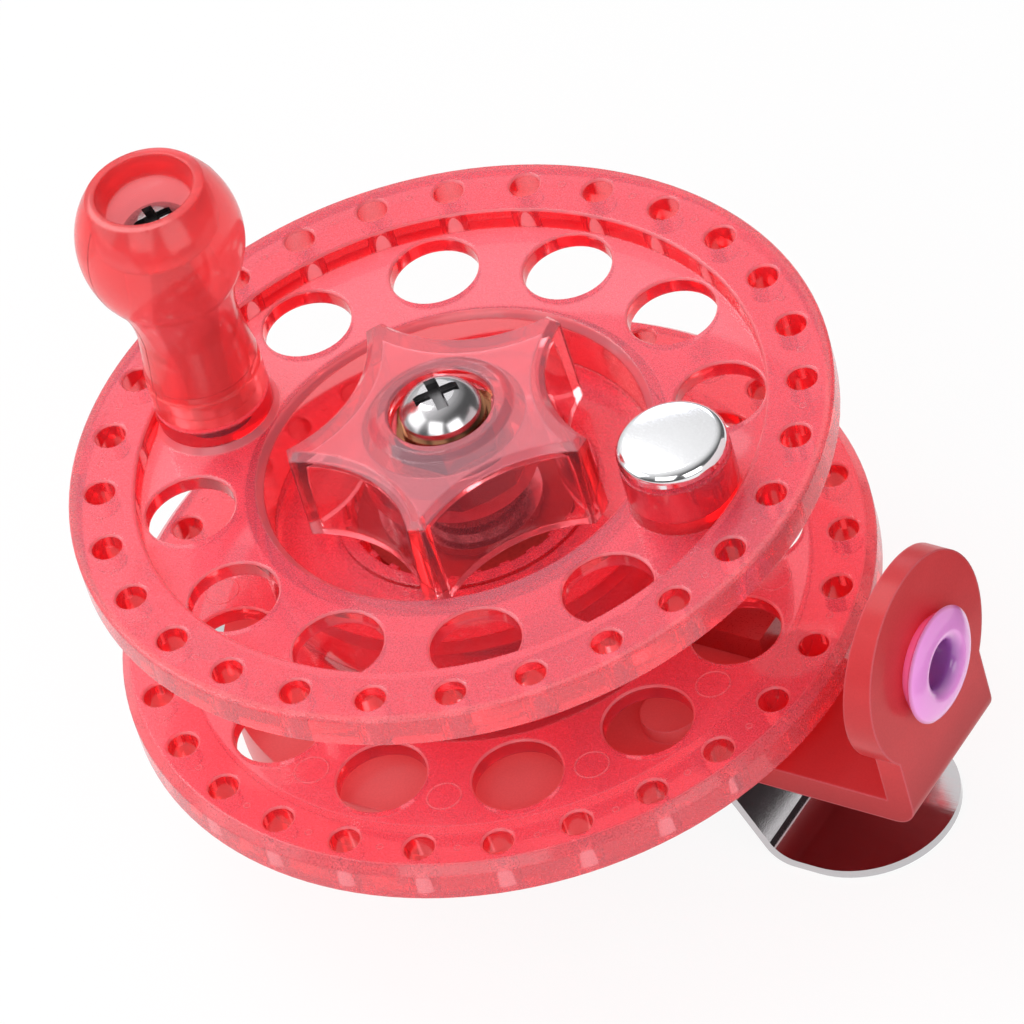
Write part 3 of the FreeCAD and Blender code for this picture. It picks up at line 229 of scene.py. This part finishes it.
def clear_plastic(name, tint, look, sizes):
    """Clear red polycarbonate, injection moulded. Light goes through it and reddens with depth. The
    mould's satin on the level faces lays a fine pink veil over the clear and blurs what shows through,
    and upright faces stay glossy. The grain is drawn coarser than the real one, so that it shows."""
    material, tree = new_material(name)
    grain = pattern(tree, sizes.satin_grain)
    flow = pattern(tree, sizes.flow_width, (1, 1, 2.5), 1.0)
    # How level a face is: 1 on the flats, 0 on the walls. Satin outer walls count as level.
    face = add(tree, "ShaderNodeNewGeometry").outputs["Normal"]
    up = add(tree, "ShaderNodeSeparateXYZ", [face]).outputs["Z"]
    steep = add(tree, "ShaderNodeMath", [up], operation="ABSOLUTE")
    level = add(tree, "ShaderNodeMapRange", [steep, *WALL_TO_FLAT, *OFF_TO_ON])
    place = add(tree, "ShaderNodeTexCoord").outputs["Object"]
    flat = add(tree, "ShaderNodeVectorMath", [place, (1, 1, 0)], operation="MULTIPLY")
    radius = add(tree, "ShaderNodeVectorMath", [flat], operation="LENGTH")
    if "satin_from" in look:
        edge_zone = [radius, look["satin_from"] - 0.2 * MM, look["satin_from"]]
        outside = add(tree, "ShaderNodeMapRange", [*edge_zone, 0.0, look["rim_satin"]])
        level = add(tree, "ShaderNodeMath", [level, outside], operation="MAXIMUM")
    # The veil: how much of the frosted layer covers the clear one.
    thin, thick = look["veil"] * (1 - look["grain"]), look["veil"] * (1 + look["grain"])
    veil = add(tree, "ShaderNodeMapRange", [grain, *FINE_CLOUD, thin, thick])
    cover = add(tree, "ShaderNodeMapRange", [level, *OFF_TO_ON, look["wall_veil"], 1.0])
    veil = add(tree, "ShaderNodeMath", [veil, cover], operation="MULTIPLY")
    shade = add(tree, "ShaderNodeMix", {0: flow, 6: tone(tint, 0.92), 7: tone(tint, 1.06)}, data_type="RGBA")
    if "satin_from" in look:
        # Painted highlight: chamfers and fillets, between level and upright, are covered more and painted in
        # the pale edge colour, and so are the satin outer walls.
        leaving = add(tree, "ShaderNodeMapRange", [steep, *WALL_TO_EDGE, 0.0, look["painted_edge_highlight"]])
        arriving = add(tree, "ShaderNodeMapRange", [steep, *EDGE_TO_FLAT, *ON_TO_OFF])
        edge = add(tree, "ShaderNodeMath", [leaving, arriving], operation="MULTIPLY")
        inside = add(tree, "ShaderNodeMapRange", [*edge_zone, *ON_TO_OFF])
        edge = add(tree, "ShaderNodeMath", [edge, inside], operation="MULTIPLY")
        veil = add(tree, "ShaderNodeMath", [veil, edge], operation="MAXIMUM")
        pale = add(tree, "ShaderNodeMapRange", [edge, 0.0, look["painted_edge_highlight"], *OFF_TO_ON])
        pale = add(tree, "ShaderNodeMath", [pale, outside], operation="MAXIMUM")
        shade = add(tree, "ShaderNodeMix", {0: pale, 6: shade, 7: look["pale"]}, data_type="RGBA")
    if "disc" in look:
        # Painted shade and light: the arm and the upright's foot, the thickest parts and in the spool's
        # shadow, are painted a deeper red low down, and the disc under the spool is painted the palest,
        # lightening the spool's reddened shade.
        height = add(tree, "ShaderNodeSeparateXYZ", [place]).outputs["Z"]
        painted_shade_low_down = add(tree, "ShaderNodeMapRange", [height, *look["painted_shade_heights"], *ON_TO_OFF])
        deeper = {0: painted_shade_low_down, 6: shade, 7: tone(tint, look["thick"])}
        shade = add(tree, "ShaderNodeMix", deeper, data_type="RGBA")
        painted_light_disc_mask = add(tree, "ShaderNodeMapRange", [radius, *look["disc_edge"], *ON_TO_OFF])
        shade = add(tree, "ShaderNodeMix", {0: painted_light_disc_mask, 6: shade, 7: look["disc"]}, data_type="RGBA")
    rounded = add(tree, "ShaderNodeBevel", {"Radius": sizes.edge_round}, samples=4)
    if "painted_edge_line" in look:
        # Sharp edges, where the rounded normal leaves the face's own, get a thin painted highlight line in
        # the pale colour.
        turned = add(tree, "ShaderNodeVectorMath", [rounded, face], operation="DOT_PRODUCT")
        line = add(tree, "ShaderNodeMapRange", [turned, *SHARP_EDGE, 0.0, look["painted_edge_line"]])
        shade = add(tree, "ShaderNodeMix", {0: line, 6: shade, 7: look["pale"]}, data_type="RGBA")
    relief = {"Height": grain, "Strength": 1.0, "Distance": look["relief"] * MM, "Normal": rounded}
    clear = {
        "Base Color": look["skin"],
        "Roughness": add(tree, "ShaderNodeMapRange", [level, *OFF_TO_ON, look["gloss"], look["haze"]]),
        "IOR": 1.5,
        "Transmission Weight": 1.0,
        "Normal": rounded,
    }
    frosted = {
        "Base Color": shade,
        "Roughness": look["satin"],
        "IOR": 1.5,
        "Specular IOR Level": look["sheen"],
        "Normal": add(tree, "ShaderNodeBump", relief),
    }
    inner = add(tree, "ShaderNodeBsdfPrincipled", clear)
    outer = add(tree, "ShaderNodeBsdfPrincipled", frosted)
    skin = add(tree, "ShaderNodeMixShader", [veil, inner, outer])
    # Shadows: light goes straight through, and each face makes it a little redder and lets "passing" by.
    passing = add(tree, "ShaderNodeBsdfTransparent", [tone(look["cast"], look["passing"])])
    shadow = add(tree, "ShaderNodeLightPath").outputs["Is Shadow Ray"]
    surface = add(tree, "ShaderNodeMixShader", [shadow, skin, passing])
    depth = add(tree, "ShaderNodeVolumeAbsorption", {"Color": look["depth"], "Density": look["density"]})
    add(tree, "ShaderNodeOutputMaterial", {"Surface": surface, "Volume": depth})
    return material


def satin_plastic(name, tint, sizes):
    """Red acetal, moulded with a satin face, seen as nearly solid: soft wide highlights and no sparkle."""
    material, tree = new_material(name)
    grain = pattern(tree, sizes.satin_grain * 0.6)
    flow = pattern(tree, sizes.flow_width, (1, 1, 2), 1.0)
    shades = {0: flow, 6: tone(tint, 0.88), 7: tone(tint, 1.1)}
    skin = {
        "Base Color": add(tree, "ShaderNodeMix", shades, data_type="RGBA"),
        "Roughness": add(tree, "ShaderNodeMapRange", [grain, *CLOUD, 0.26, 0.36]),
        "IOR": 1.5,
        "Transmission Weight": 0.35,
        "Subsurface Weight": 0.25,
        "Subsurface Radius": (0.9, 0.25, 0.2),
        "Subsurface Scale": 1.2 * MM,
        "Normal": add(tree, "ShaderNodeBump", {"Height": grain, "Strength": 1.0, "Distance": 0.004 * MM}),
    }
    add(tree, "ShaderNodeOutputMaterial", [add(tree, "ShaderNodeBsdfPrincipled", skin)])
    return material


def glazed_ring(name, colours, height):
    """Lilac ceramic ring, glazed: one smooth gloss coat over an even body with a little depth. The bore is
    painted a deeper violet than the face, and the side a deeper rose, both as painted shade."""
    material, tree = new_material(name)
    cloud = pattern(tree, 3 * MM, detail=1.0)
    place = add(tree, "ShaderNodeTexCoord").outputs["Object"]
    offset = add(tree, "ShaderNodeVectorMath", [place, (0, 0, height)], operation="SUBTRACT")
    across = add(tree, "ShaderNodeVectorMath", [offset, (0, 1, 1)], operation="MULTIPLY")
    radius = add(tree, "ShaderNodeVectorMath", [across], operation="LENGTH")
    # Painted shade: the bore and the side are painted darker than the face.
    open_face = add(tree, "ShaderNodeMapRange", [radius, *RING_BORE, *OFF_TO_ON])
    glazes = {0: open_face, 6: colours.guide_bore_painted_shade, 7: colours.guide}
    glaze = add(tree, "ShaderNodeMix", glazes, data_type="RGBA")
    side = add(tree, "ShaderNodeMapRange", [radius, *RING_SIDE, 0.0, 0.7])
    shades = {0: side, 6: glaze, 7: colours.guide_side_painted_shade}
    skin = {
        "Base Color": add(tree, "ShaderNodeMix", shades, data_type="RGBA"),
        "Roughness": add(tree, "ShaderNodeMapRange", [cloud, *CLOUD, 0.16, 0.24]),
        "IOR": 1.55,
        "Subsurface Weight": 0.2,
        "Subsurface Radius": (0.9, 0.5, 0.9),
        "Subsurface Scale": 0.8 * MM,
        "Coat Weight": 0.5,
        "Coat Roughness": 0.08,
    }
    add(tree, "ShaderNodeOutputMaterial", [add(tree, "ShaderNodeBsdfPrincipled", skin)])
    return material


def metal(name, tint, rough, line, stretch=(1, 1, 1), depth=0.0015):
    """Metal with the fine lines that working left: rolled sheet, lathe turning or plate over polish. They
    vary its shade a little and spread what it mirrors."""
    material, tree = new_material(name)
    lines = pattern(tree, line, stretch, 3.0)
    shades = {0: lines, 6: tone(tint, 0.92), 7: tone(tint, 1.05)}
    skin = {
        "Base Color": add(tree, "ShaderNodeMix", shades, data_type="RGBA"),
        "Metallic": 1.0,
        "Roughness": add(tree, "ShaderNodeMapRange", [lines, *CLOUD, rough * 0.7, rough * 1.4]),
        "Normal": add(tree, "ShaderNodeBump", {"Height": lines, "Strength": 1.0, "Distance": depth * MM}),
    }
    add(tree, "ShaderNodeOutputMaterial", [add(tree, "ShaderNodeBsdfPrincipled", skin)])
    return material


def plated_screw(name, tint, node, recess, drop, sizes):
    """Nickel-plated steel screw, bright from tumbling, with the driver's recess rougher and painted dark as
    painted shade.
    recess is its radius, and drop how far the head falls off by there."""
    material, tree = new_material(name)
    low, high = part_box(node)
    centre = ((low[0] + high[0]) / 2, (low[1] + high[1]) / 2, high[2] - drop)
    place = add(tree, "ShaderNodeTexCoord").outputs["Object"]
    offset = add(tree, "ShaderNodeVectorMath", [place, centre], operation="SUBTRACT")
    height = add(tree, "ShaderNodeSeparateXYZ", [offset]).outputs["Z"]
    across = add(tree, "ShaderNodeVectorMath", [offset, (1, 1, 0)], operation="MULTIPLY")
    radius = add(tree, "ShaderNodeVectorMath", [across], operation="LENGTH")
    # Painted shade: the driver's recess is painted dark.
    within = add(tree, "ShaderNodeMapRange", [radius, recess - 0.1 * MM, recess, *ON_TO_OFF])
    below = add(tree, "ShaderNodeMapRange", [height, -0.15 * MM, 0.0, *ON_TO_OFF])
    recess_painted_shade = add(tree, "ShaderNodeMath", [within, below], operation="MULTIPLY")
    lines = pattern(tree, sizes.turning)
    skin = {
        "Base Color": add(tree, "ShaderNodeMix", {0: recess_painted_shade, 6: tint, 7: tone(tint, 0.3)}, data_type="RGBA"),
        "Metallic": 1.0,
        "Roughness": add(tree, "ShaderNodeMapRange", [recess_painted_shade, *OFF_TO_ON, 0.2, 0.5]),
        "Normal": add(tree, "ShaderNodeBump", {"Height": lines, "Strength": 1.0, "Distance": 0.0004 * MM}),
    }
    add(tree, "ShaderNodeOutputMaterial", [add(tree, "ShaderNodeBsdfPrincipled", skin)])
    return material


def pressed_fibre(name, tint):
    """Friction washers: pressed fibre with a matt, slightly mottled face."""
    material, tree = new_material(name)
    mottle = pattern(tree, 0.3 * MM, detail=4.0)
    shades = {0: mottle, 6: tone(tint, 0.7), 7: tone(tint, 1.5)}
    skin = {
        "Base Color": add(tree, "ShaderNodeMix", shades, data_type="RGBA"),
        "Roughness": 0.85,
        "Normal": add(tree, "ShaderNodeBump", {"Height": mottle, "Strength": 1.0, "Distance": 0.02 * MM}),
    }
    add(tree, "ShaderNodeOutputMaterial", [add(tree, "ShaderNodeBsdfPrincipled", skin)])
    return material


def finish_nodes(material, slot, *names):
    """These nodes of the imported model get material."""
    for name in names:
        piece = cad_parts[name]
        piece.data.materials.clear()
        piece.data.materials.append(material)


def groups():
    scene = bpy.context.scene
    return scene.reel_colours, scene.reel_sizes, scene.reel_stage


def mesh_piece(name, verts, faces, material, body):
    """Smooth mesh from lists, in metres, that rides on a body."""
    mesh = bpy.data.meshes.new(name)
    mesh.from_pydata(verts, [], faces)
    mesh.validate()
    mesh.update()
    mesh.materials.append(material)
    for face in mesh.polygons:
        face.use_smooth = True
    piece = bpy.data.objects.new(name, mesh)
    bpy.context.scene.collection.objects.link(piece)
    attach(piece, body)


def strip(verts, faces, rows, closed):
    """Skin of a strip whose cross-sections are rows, each a loop of points. An open strip gets end faces."""
    base, many = len(verts), len(rows[0])
    for row in rows:
        verts.extend(row)
    last = len(rows) if closed else len(rows) - 1
    for at in range(last):
        here, there = base + at * many, base + (at + 1) % len(rows) * many
        for turn in range(many):
            after = (turn + 1) % many
            faces.append((here + turn, here + after, there + after, there + turn))
    if not closed:
        faces.append(tuple(base + turn for turn in reversed(range(many))))
        faces.append(tuple(base + last * many + turn for turn in range(many)))


def raised_ring(verts, faces, centre, radius, width, height, steps):
    """Fine round ridge on a level face: its crest stands proud, and its root is just under the face."""
    section = ((-width / 2, 0.0), (0.0, height), (width / 2, 0.0), (0.0, -height / 2))
    middle = Vector(centre)
    rows = []
    for step in range(steps):
        turn = 2 * math.pi * step / steps
        way = Vector((math.cos(turn), math.sin(turn), 0.0))
        rows.append([tuple(middle + way * (radius + out) + Vector((0.0, 0.0, up))) for out, up in section])
    strip(verts, faces, rows, closed=True)


def mould_mark(name, tint):
    """Fine raised line that the mould leaves on polycarbonate. It scatters more light than the face round
    it, and so looks like a thin line, pale on the flanges and deep red down the knob, that the face still
    shows through."""
    material, tree = new_material(name)
    worn = pattern(tree, 0.8 * MM)
    skin = {
        "Base Color": tint,
        "Roughness": add(tree, "ShaderNodeMapRange", [worn, *CLOUD, 0.3, 0.5]),
        "Alpha": add(tree, "ShaderNodeMapRange", [worn, *CLOUD, 0.25, 0.5]),
    }
    add(tree, "ShaderNodeOutputMaterial", [add(tree, "ShaderNodeBsdfPrincipled", skin)])
    return material


class REEL_OT_spool(bpy.types.Operator):
    """Spool halves in clear red plastic, with their ejector marks and rim pips"""

    bl_idname = "reel.spool"
    bl_label = "Spool"

    def execute(self, context):
        colours, sizes, _ = groups()
        look = {
            "skin": colours.skin,
            "cast": colours.cast,
            "passing": 0.94,
            "depth": colours.depth,
            "density": sizes.tint,
            "veil": 0.38,
            "wall_veil": 0.3,
            "gloss": 0.05,
            "haze": 0.09,
            "satin": 0.38,
            "relief": 0.003,
            "grain": 0.14,
            "sheen": 0.5,
            "satin_from": 31.9 * MM,
            "rim_satin": 0.85,
            # Painted highlight on the chamfers, fillets and outer walls, in the pale edge colour.
            "painted_edge_highlight": 0.5,
            "pale": colours.edge,
        }
        plastic = clear_plastic("clear_red_polycarbonate_satin", colours.spool, look, sizes)
        finish_nodes(plastic, "red_clear", "spool_upper_half", "spool_lower_half")
        line = mould_mark("clear_red_polycarbonate_ejector_line", colours.mark)
        verts, faces = [], []
        pitch, width = sizes.ejector_pitch, sizes.mark_width
        for number in range(LARGE_HOLES):
            way = sizes.first_hole + 2 * math.pi * (number + 0.5) / LARGE_HOLES
            centre = (pitch * math.cos(way), pitch * math.sin(way), sizes.flange_top)
            raised_ring(verts, faces, centre, sizes.ejector_radius, width, sizes.mark_height, EJECTOR_STEPS)
        mesh_piece("ejector_marks", verts, faces, line, "spool")
        verts, faces = [], []
        pitch, width = sizes.pip_pitch, sizes.mark_width * 0.8
        for level in (sizes.flange_top, sizes.rim_top):
            for number in range(SMALL_HOLES):
                way = sizes.first_hole + 2 * math.pi * (number + 0.5) / SMALL_HOLES
                centre = (pitch * math.cos(way), pitch * math.sin(way), level)
                raised_ring(verts, faces, centre, sizes.pip_radius, width, sizes.mark_height, PIP_STEPS)
        mesh_piece("rim_pips", verts, faces, line, "spool")
        return {"FINISHED"}


class REEL_OT_knobs(bpy.types.Operator):
    """Crank knob, frosted and with its parting line, and polished star knob, in clear red plastic"""

    bl_idname = "reel.knobs"
    bl_label = "Crank knob and star knob"

    def execute(self, context):
        colours, sizes, _ = groups()
        look = {
            "skin": colours.skin,
            "cast": colours.cast,
            "passing": 1.0,
            "depth": colours.depth,
            "density": sizes.tint * 0.3,
            "veil": 0.34,
            "wall_veil": 0.85,
            "gloss": 0.13,
            "haze": 0.15,
            "satin": 0.42,
            "relief": 0.001,
            "grain": 0.06,
            "sheen": 0.5,
        }
        frosted = clear_plastic("clear_red_polycarbonate_frosted", colours.crank, look, sizes)
        finish_nodes(frosted, "red_clear", "crank_knob")
        self.seams(sizes, colours)
        look["density"] = sizes.tint * 0.35
        look.update({"veil": 0.27, "wall_veil": 0.15, "gloss": 0.02, "haze": 0.08})
        polished = clear_plastic("clear_red_polycarbonate_polished", colours.star, look, sizes)
        finish_nodes(polished, "red_clear", "star_knob")
        return {"FINISHED"}

    def seams(self, sizes, colours):
        """Parting line on both sides of the crank knob, laid along its moulded face."""
        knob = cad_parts["crank_knob"]
        corners = [corner.co for corner in knob.data.vertices]
        shape = BVHTree.FromPolygons(corners, [tuple(face.vertices) for face in knob.data.polygons])
        low, high = (Vector(corner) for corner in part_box("crank_knob"))
        axis = (low + high) / 2
        tint = mould_mark("clear_red_polycarbonate_parting_line", tone(colours.crank, 0.45))
        verts, faces = [], []
        for turn in (0.0, math.pi):
            out = Vector((math.cos(sizes.seam + turn), math.sin(sizes.seam + turn), 0.0))
            across = Vector((-out.y, out.x, 0.0)) * sizes.mark_width * 0.4
            rows = []
            for step in range(SEAM_STEPS + 1):
                height = low.z + (high.z - low.z) * (SEAM_FROM + SEAM_SPAN * step / SEAM_STEPS)
                start = Vector((axis.x, axis.y, height)) + out * 20 * MM  # well outside the knob
                hit, face, _, _ = shape.ray_cast(start, -out)
                if hit is None:
                    raise RuntimeError("The parting line misses the crank knob")
                proud = face * sizes.mark_height * 0.4
                rows.append([tuple(hit + part) for part in (-across, proud, across, -proud)])
            strip(verts, faces, rows, closed=False)
        mesh_piece("crank_knob_seams", verts, faces, tint, "crank")


class REEL_OT_base(bpy.types.Operator):
    """Base, arm and upright in satin red plastic, and the click slide"""

    bl_idname = "reel.base"
    bl_label = "Base and click slide"

    def execute(self, context):
        colours, sizes, _ = groups()
        look = {
            "skin": colours.skin,
            "cast": colours.cast,
            "passing": 0.94,
            "depth": colours.base_depth,
            "density": sizes.tint * 0.8,
            "veil": 0.86,
            "wall_veil": 1.0,
            "gloss": 0.12,
            "haze": 0.2,
            "satin": 0.33,
            "relief": 0.0012,
            "grain": 0.03,
            "sheen": 0.12,
            # Painted highlight: a thin pale line along the sharp edges.
            "painted_edge_line": 0.6,
            "pale": colours.edge,
            # Painted light: the disc under the spool is painted paler than the rest of the base.
            "disc": colours.base_disc_painted_light,
            "disc_edge": (24.2 * MM, 24.8 * MM),
            # Painted shade: a deeper red low down on the arm and the upright's foot.
            "thick": 0.66,
            "painted_shade_heights": (8 * MM, 14 * MM),
        }
        plastic = clear_plastic("red_polycarbonate_satin", colours.base, look, sizes)
        finish_nodes(plastic, "red_satin", "frame_base")
        acetal = satin_plastic("red_acetal_satin", tone(colours.base, 0.75), sizes)
        finish_nodes(acetal, "click_plastic", "click_slide")
        return {"FINISHED"}


class REEL_OT_line_guide(bpy.types.Operator):
    """Glazed lilac ring in the upright"""

    bl_idname = "reel.line_guide"
    bl_label = "Line guide ring"

    def execute(self, context):
        colours, _, _ = groups()
        low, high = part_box("line_guide_ring")
        ceramic = glazed_ring("lilac_glazed_ceramic", colours, (low[2] + high[2]) / 2)
        finish_nodes(ceramic, "guide_pink", "line_guide_ring")
        return {"FINISHED"}


class REEL_OT_metal(bpy.types.Operator):
    """Foot, post, bearings, screws, counterweight and drag stack"""

    bl_idname = "reel.metal"
    bl_label = "Metal parts and drag stack"

    def execute(self, context):
        colours, sizes, _ = groups()
        sheet = metal("stainless_sheet_polished", colours.steel, 0.09, sizes.brush_line, (0.04, 1, 1))
        finish_nodes(sheet, "stainless", "rod_foot")
        turned = metal("stainless_steel_turned", colours.steel, 0.2, sizes.turning)
        finish_nodes(
            turned,
            "stainless",
            "foot_screws",
            "click_screw",
            "axle_post",
            "lower_bearing_inner_ring",
            "lower_bearing_outer_ring",
            "upper_bearing_inner_ring",
            "upper_bearing_outer_ring",
            "crank_bush",
            "crank_washer",
            "keyed_drag_washer",
            "eared_drag_washer",
            "pressure_washer",
        )
        plate = metal("bright_chrome_plate", colours.chrome, 0.11, sizes.turning, depth=0.0004)
        finish_nodes(plate, "chrome", "counterweight")
        # For each screw: its share of the steel's tone, lower for the crank's, and in millimetres the
        # recess's radius
        #         and how far the head falls off by there.
        screws = {"crank_screw": (0.65, 1.75, 0.5), "retaining_screw": (1.0, 2.25, 0.55)}
        for node, (share, recess, drop) in screws.items():
            grey = tone(colours.steel, share)
            plated = plated_screw("nickel_plate_" + node, grey, node, recess * MM, drop * MM, sizes)
            finish_nodes(plated, "chrome", node)
        brass = metal("brass_turned", colours.brass, 0.18, sizes.turning)
        finish_nodes(brass, "brass", "axle_shim", "bearing_spacer", "star_knob_insert", "retaining_washer")
        spring = metal("spring_steel_tempered", colours.spring, 0.28, sizes.turning)
        finish_nodes(spring, "spring_steel", "disc_springs")
        fibre = pressed_fibre("friction_fibre_pressed", colours.fibre)
        finish_nodes(fibre, "friction", "lower_friction_washer", "upper_friction_washer")
        return {"FINISHED"}


def lamp(name, place, width, height, power, shade):
    data = bpy.data.lights.new(name, "AREA")
    data.shape = "RECTANGLE"
    data.size, data.size_y, data.energy, data.color = width, height, power, shade
    made = bpy.data.objects.new(name, data)
    made.location = place
    made.rotation_euler = (Vector(LAMP_AIM) - Vector(place)).to_track_quat("-Z", "Y").to_euler()
    bpy.context.scene.collection.objects.link(made)


class REEL_OT_stage(bpy.types.Operator):
    """Pale floor, soft lamps and white surroundings"""

    bl_idname = "reel.stage"
    bl_label = "Stage and light"

    def execute(self, context):
        colours, _, stage = groups()
        far = FLOOR_HALF
        mesh = bpy.data.meshes.new("floor")
        corners = [(x, y, -FLOOR_DROP) for x, y in ((-far, -far), (far, -far), (far, far), (-far, far))]
        mesh.from_pydata(corners, [], [(0, 1, 2, 3)])
        floor = bpy.data.objects.new("floor", mesh)
        context.scene.collection.objects.link(floor)
        # Matt white paper: an even pale ground, without gloss, that keeps the reel's shadow.
        material, tree = new_material("studio_paper_white")
        paper = add(tree, "ShaderNodeBsdfDiffuse", [colours.floor])
        glow = add(tree, "ShaderNodeEmission", [(1, 1, 1, 1), 1.0])
        path = add(tree, "ShaderNodeLightPath").outputs
        place = add(tree, "ShaderNodeTexCoord").outputs["Object"]
        reach = add(tree, "ShaderNodeVectorMath", [place], operation="LENGTH")
        # Painted shadow on the floor under the base, which only rays through the plastic see.
        under = add(tree, "ShaderNodeMapRange", [reach, *UNDER_BASE, FLOOR_PAINTED_SHADOW, 1.0])
        through = add(tree, "ShaderNodeMath", [path["Is Transmission Ray"], under], operation="MULTIPLY")
        mirror = add(tree, "ShaderNodeMath", [path["Is Glossy Ray"], FLOOR_MIRRORED], operation="MULTIPLY")
        seen = add(tree, "ShaderNodeMath", [path["Is Camera Ray"], FLOOR_SEEN], operation="MULTIPLY")
        for more in (through, mirror):
            seen = add(tree, "ShaderNodeMath", [seen, more], operation="MAXIMUM")
        add(tree, "ShaderNodeOutputMaterial", [add(tree, "ShaderNodeMixShader", [seen, paper, glow])])
        mesh.materials.append(material)
        for name, (low, high, code) in CARDS.items():
            self.card(name, low, high, code)

        world = bpy.data.worlds.new("studio")
        world.use_nodes = True
        context.scene.world = world
        tree = world.node_tree
        tree.nodes.clear()
        way = add(tree, "ShaderNodeTexCoord").outputs["Generated"]
        key_side = Vector(KEY_SIDE).normalized()
        facing = add(tree, "ShaderNodeVectorMath", [way, key_side], operation="DOT_PRODUCT")
        mirrored = add(tree, "ShaderNodeMapRange", [facing, 0.3, 1.0, stage.horizon, KEY_SIDE_GLOW])
        path = add(tree, "ShaderNodeLightPath").outputs
        seen = add(tree, "ShaderNodeMix", {0: path["Is Transmission Ray"], 2: stage.world, 3: 1.0})
        seen = add(tree, "ShaderNodeMix", {0: path["Is Glossy Ray"], 2: seen, 3: mirrored})
        seen = add(tree, "ShaderNodeMix", {0: path["Is Camera Ray"], 2: seen, 3: 1.0})
        light = add(tree, "ShaderNodeBackground", {"Color": (1, 1, 1, 1), "Strength": seen})
        add(tree, "ShaderNodeOutputWorld", [light])

        for name, (place, width, height, shade) in LAMPS.items():
            lamp(name, place, width, height, getattr(stage, name), shade)
        return {"FINISHED"}

    def card(self, name, low, high, code):
        """Matt card beside the foot, from one height to another, which only gloss and metal see."""
        way = Vector(CARD_HEADING).normalized()
        across = Vector((-way.y, way.x, 0.0)) * CARD_HALF
        centre = Vector(CARD_PLACE)
        corners = [centre - across, centre + across, centre + across, centre - across]
        corners = [tuple(corner + Vector((0, 0, up))) for corner, up in zip(corners, (low, low, high, high))]
        mesh = bpy.data.meshes.new(name)
        mesh.from_pydata(corners, [], [(0, 1, 2, 3)])
        material, tree = new_material(name + "_matt")
        add(tree, "ShaderNodeOutputMaterial", [add(tree, "ShaderNodeBsdfDiffuse", [linear(code)])])
        mesh.materials.append(material)
        card = bpy.data.objects.new(name, mesh)
        bpy.context.scene.collection.objects.link(card)
        for kind in ("camera", "diffuse", "transmission", "volume_scatter", "shadow"):
            setattr(card, "visible_" + kind, False)


class REEL_OT_camera(bpy.types.Operator):
    """Camera at the photograph's view"""

    bl_idname = "reel.camera"
    bl_label = "Camera"

    def execute(self, context):
        data = bpy.data.cameras.new("camera")
        data.sensor_width = SENSOR_WIDTH
        data.lens = CAMERA_LENS
        data.clip_start, data.clip_end = 0.01, 10.0
        camera = bpy.data.objects.new("camera", data)
        camera.location = CAMERA_PLACE
        camera.rotation_euler = Euler([math.radians(a) for a in CAMERA_TURN], "XYZ")
        context.scene.collection.objects.link(camera)
        context.scene.camera = camera
        return {"FINISHED"}


class REEL_PT_panel(bpy.types.Panel):
    """Lists the reel's pieces and its stage."""

    bl_idname = "REEL_PT_panel"
    bl_label = "Fishing reel"
    bl_space_type = "VIEW_3D"
    bl_region_type = "UI"
    bl_category = "Reel"

    def draw(self, context):
        for step in STEPS:
            self.layout.operator(step.bl_idname)
        for group in (context.scene.reel_colours, context.scene.reel_sizes, context.scene.reel_stage):
            column = self.layout.column(align=True)
            for name in group.__annotations__:
                column.prop(group, name)


STEPS = (
    REEL_OT_spool,
    REEL_OT_knobs,
    REEL_OT_base,
    REEL_OT_line_guide,
    REEL_OT_metal,
    REEL_OT_stage,
    REEL_OT_camera,
)
GROUPS = {"reel_colours": ReelColours, "reel_sizes": ReelSizes, "reel_stage": ReelStage}


def register():
    for kind in (*GROUPS.values(), *STEPS, REEL_PT_panel):
        bpy.utils.register_class(kind)
    for name, group in GROUPS.items():
        setattr(bpy.types.Scene, name, bpy.props.PointerProperty(type=group))


def unregister():
    for name in GROUPS:
        delattr(bpy.types.Scene, name)
    for kind in (REEL_PT_panel, *reversed(STEPS), *GROUPS.values()):
        bpy.utils.unregister_class(kind)


def main():
    register()
    bpy.context.scene.view_settings.view_transform = "Standard"
    for step in STEPS:
        call = getattr(bpy.ops.reel, step.bl_idname.split(".")[1])
        call()


if __name__ == "__main__":
    main()
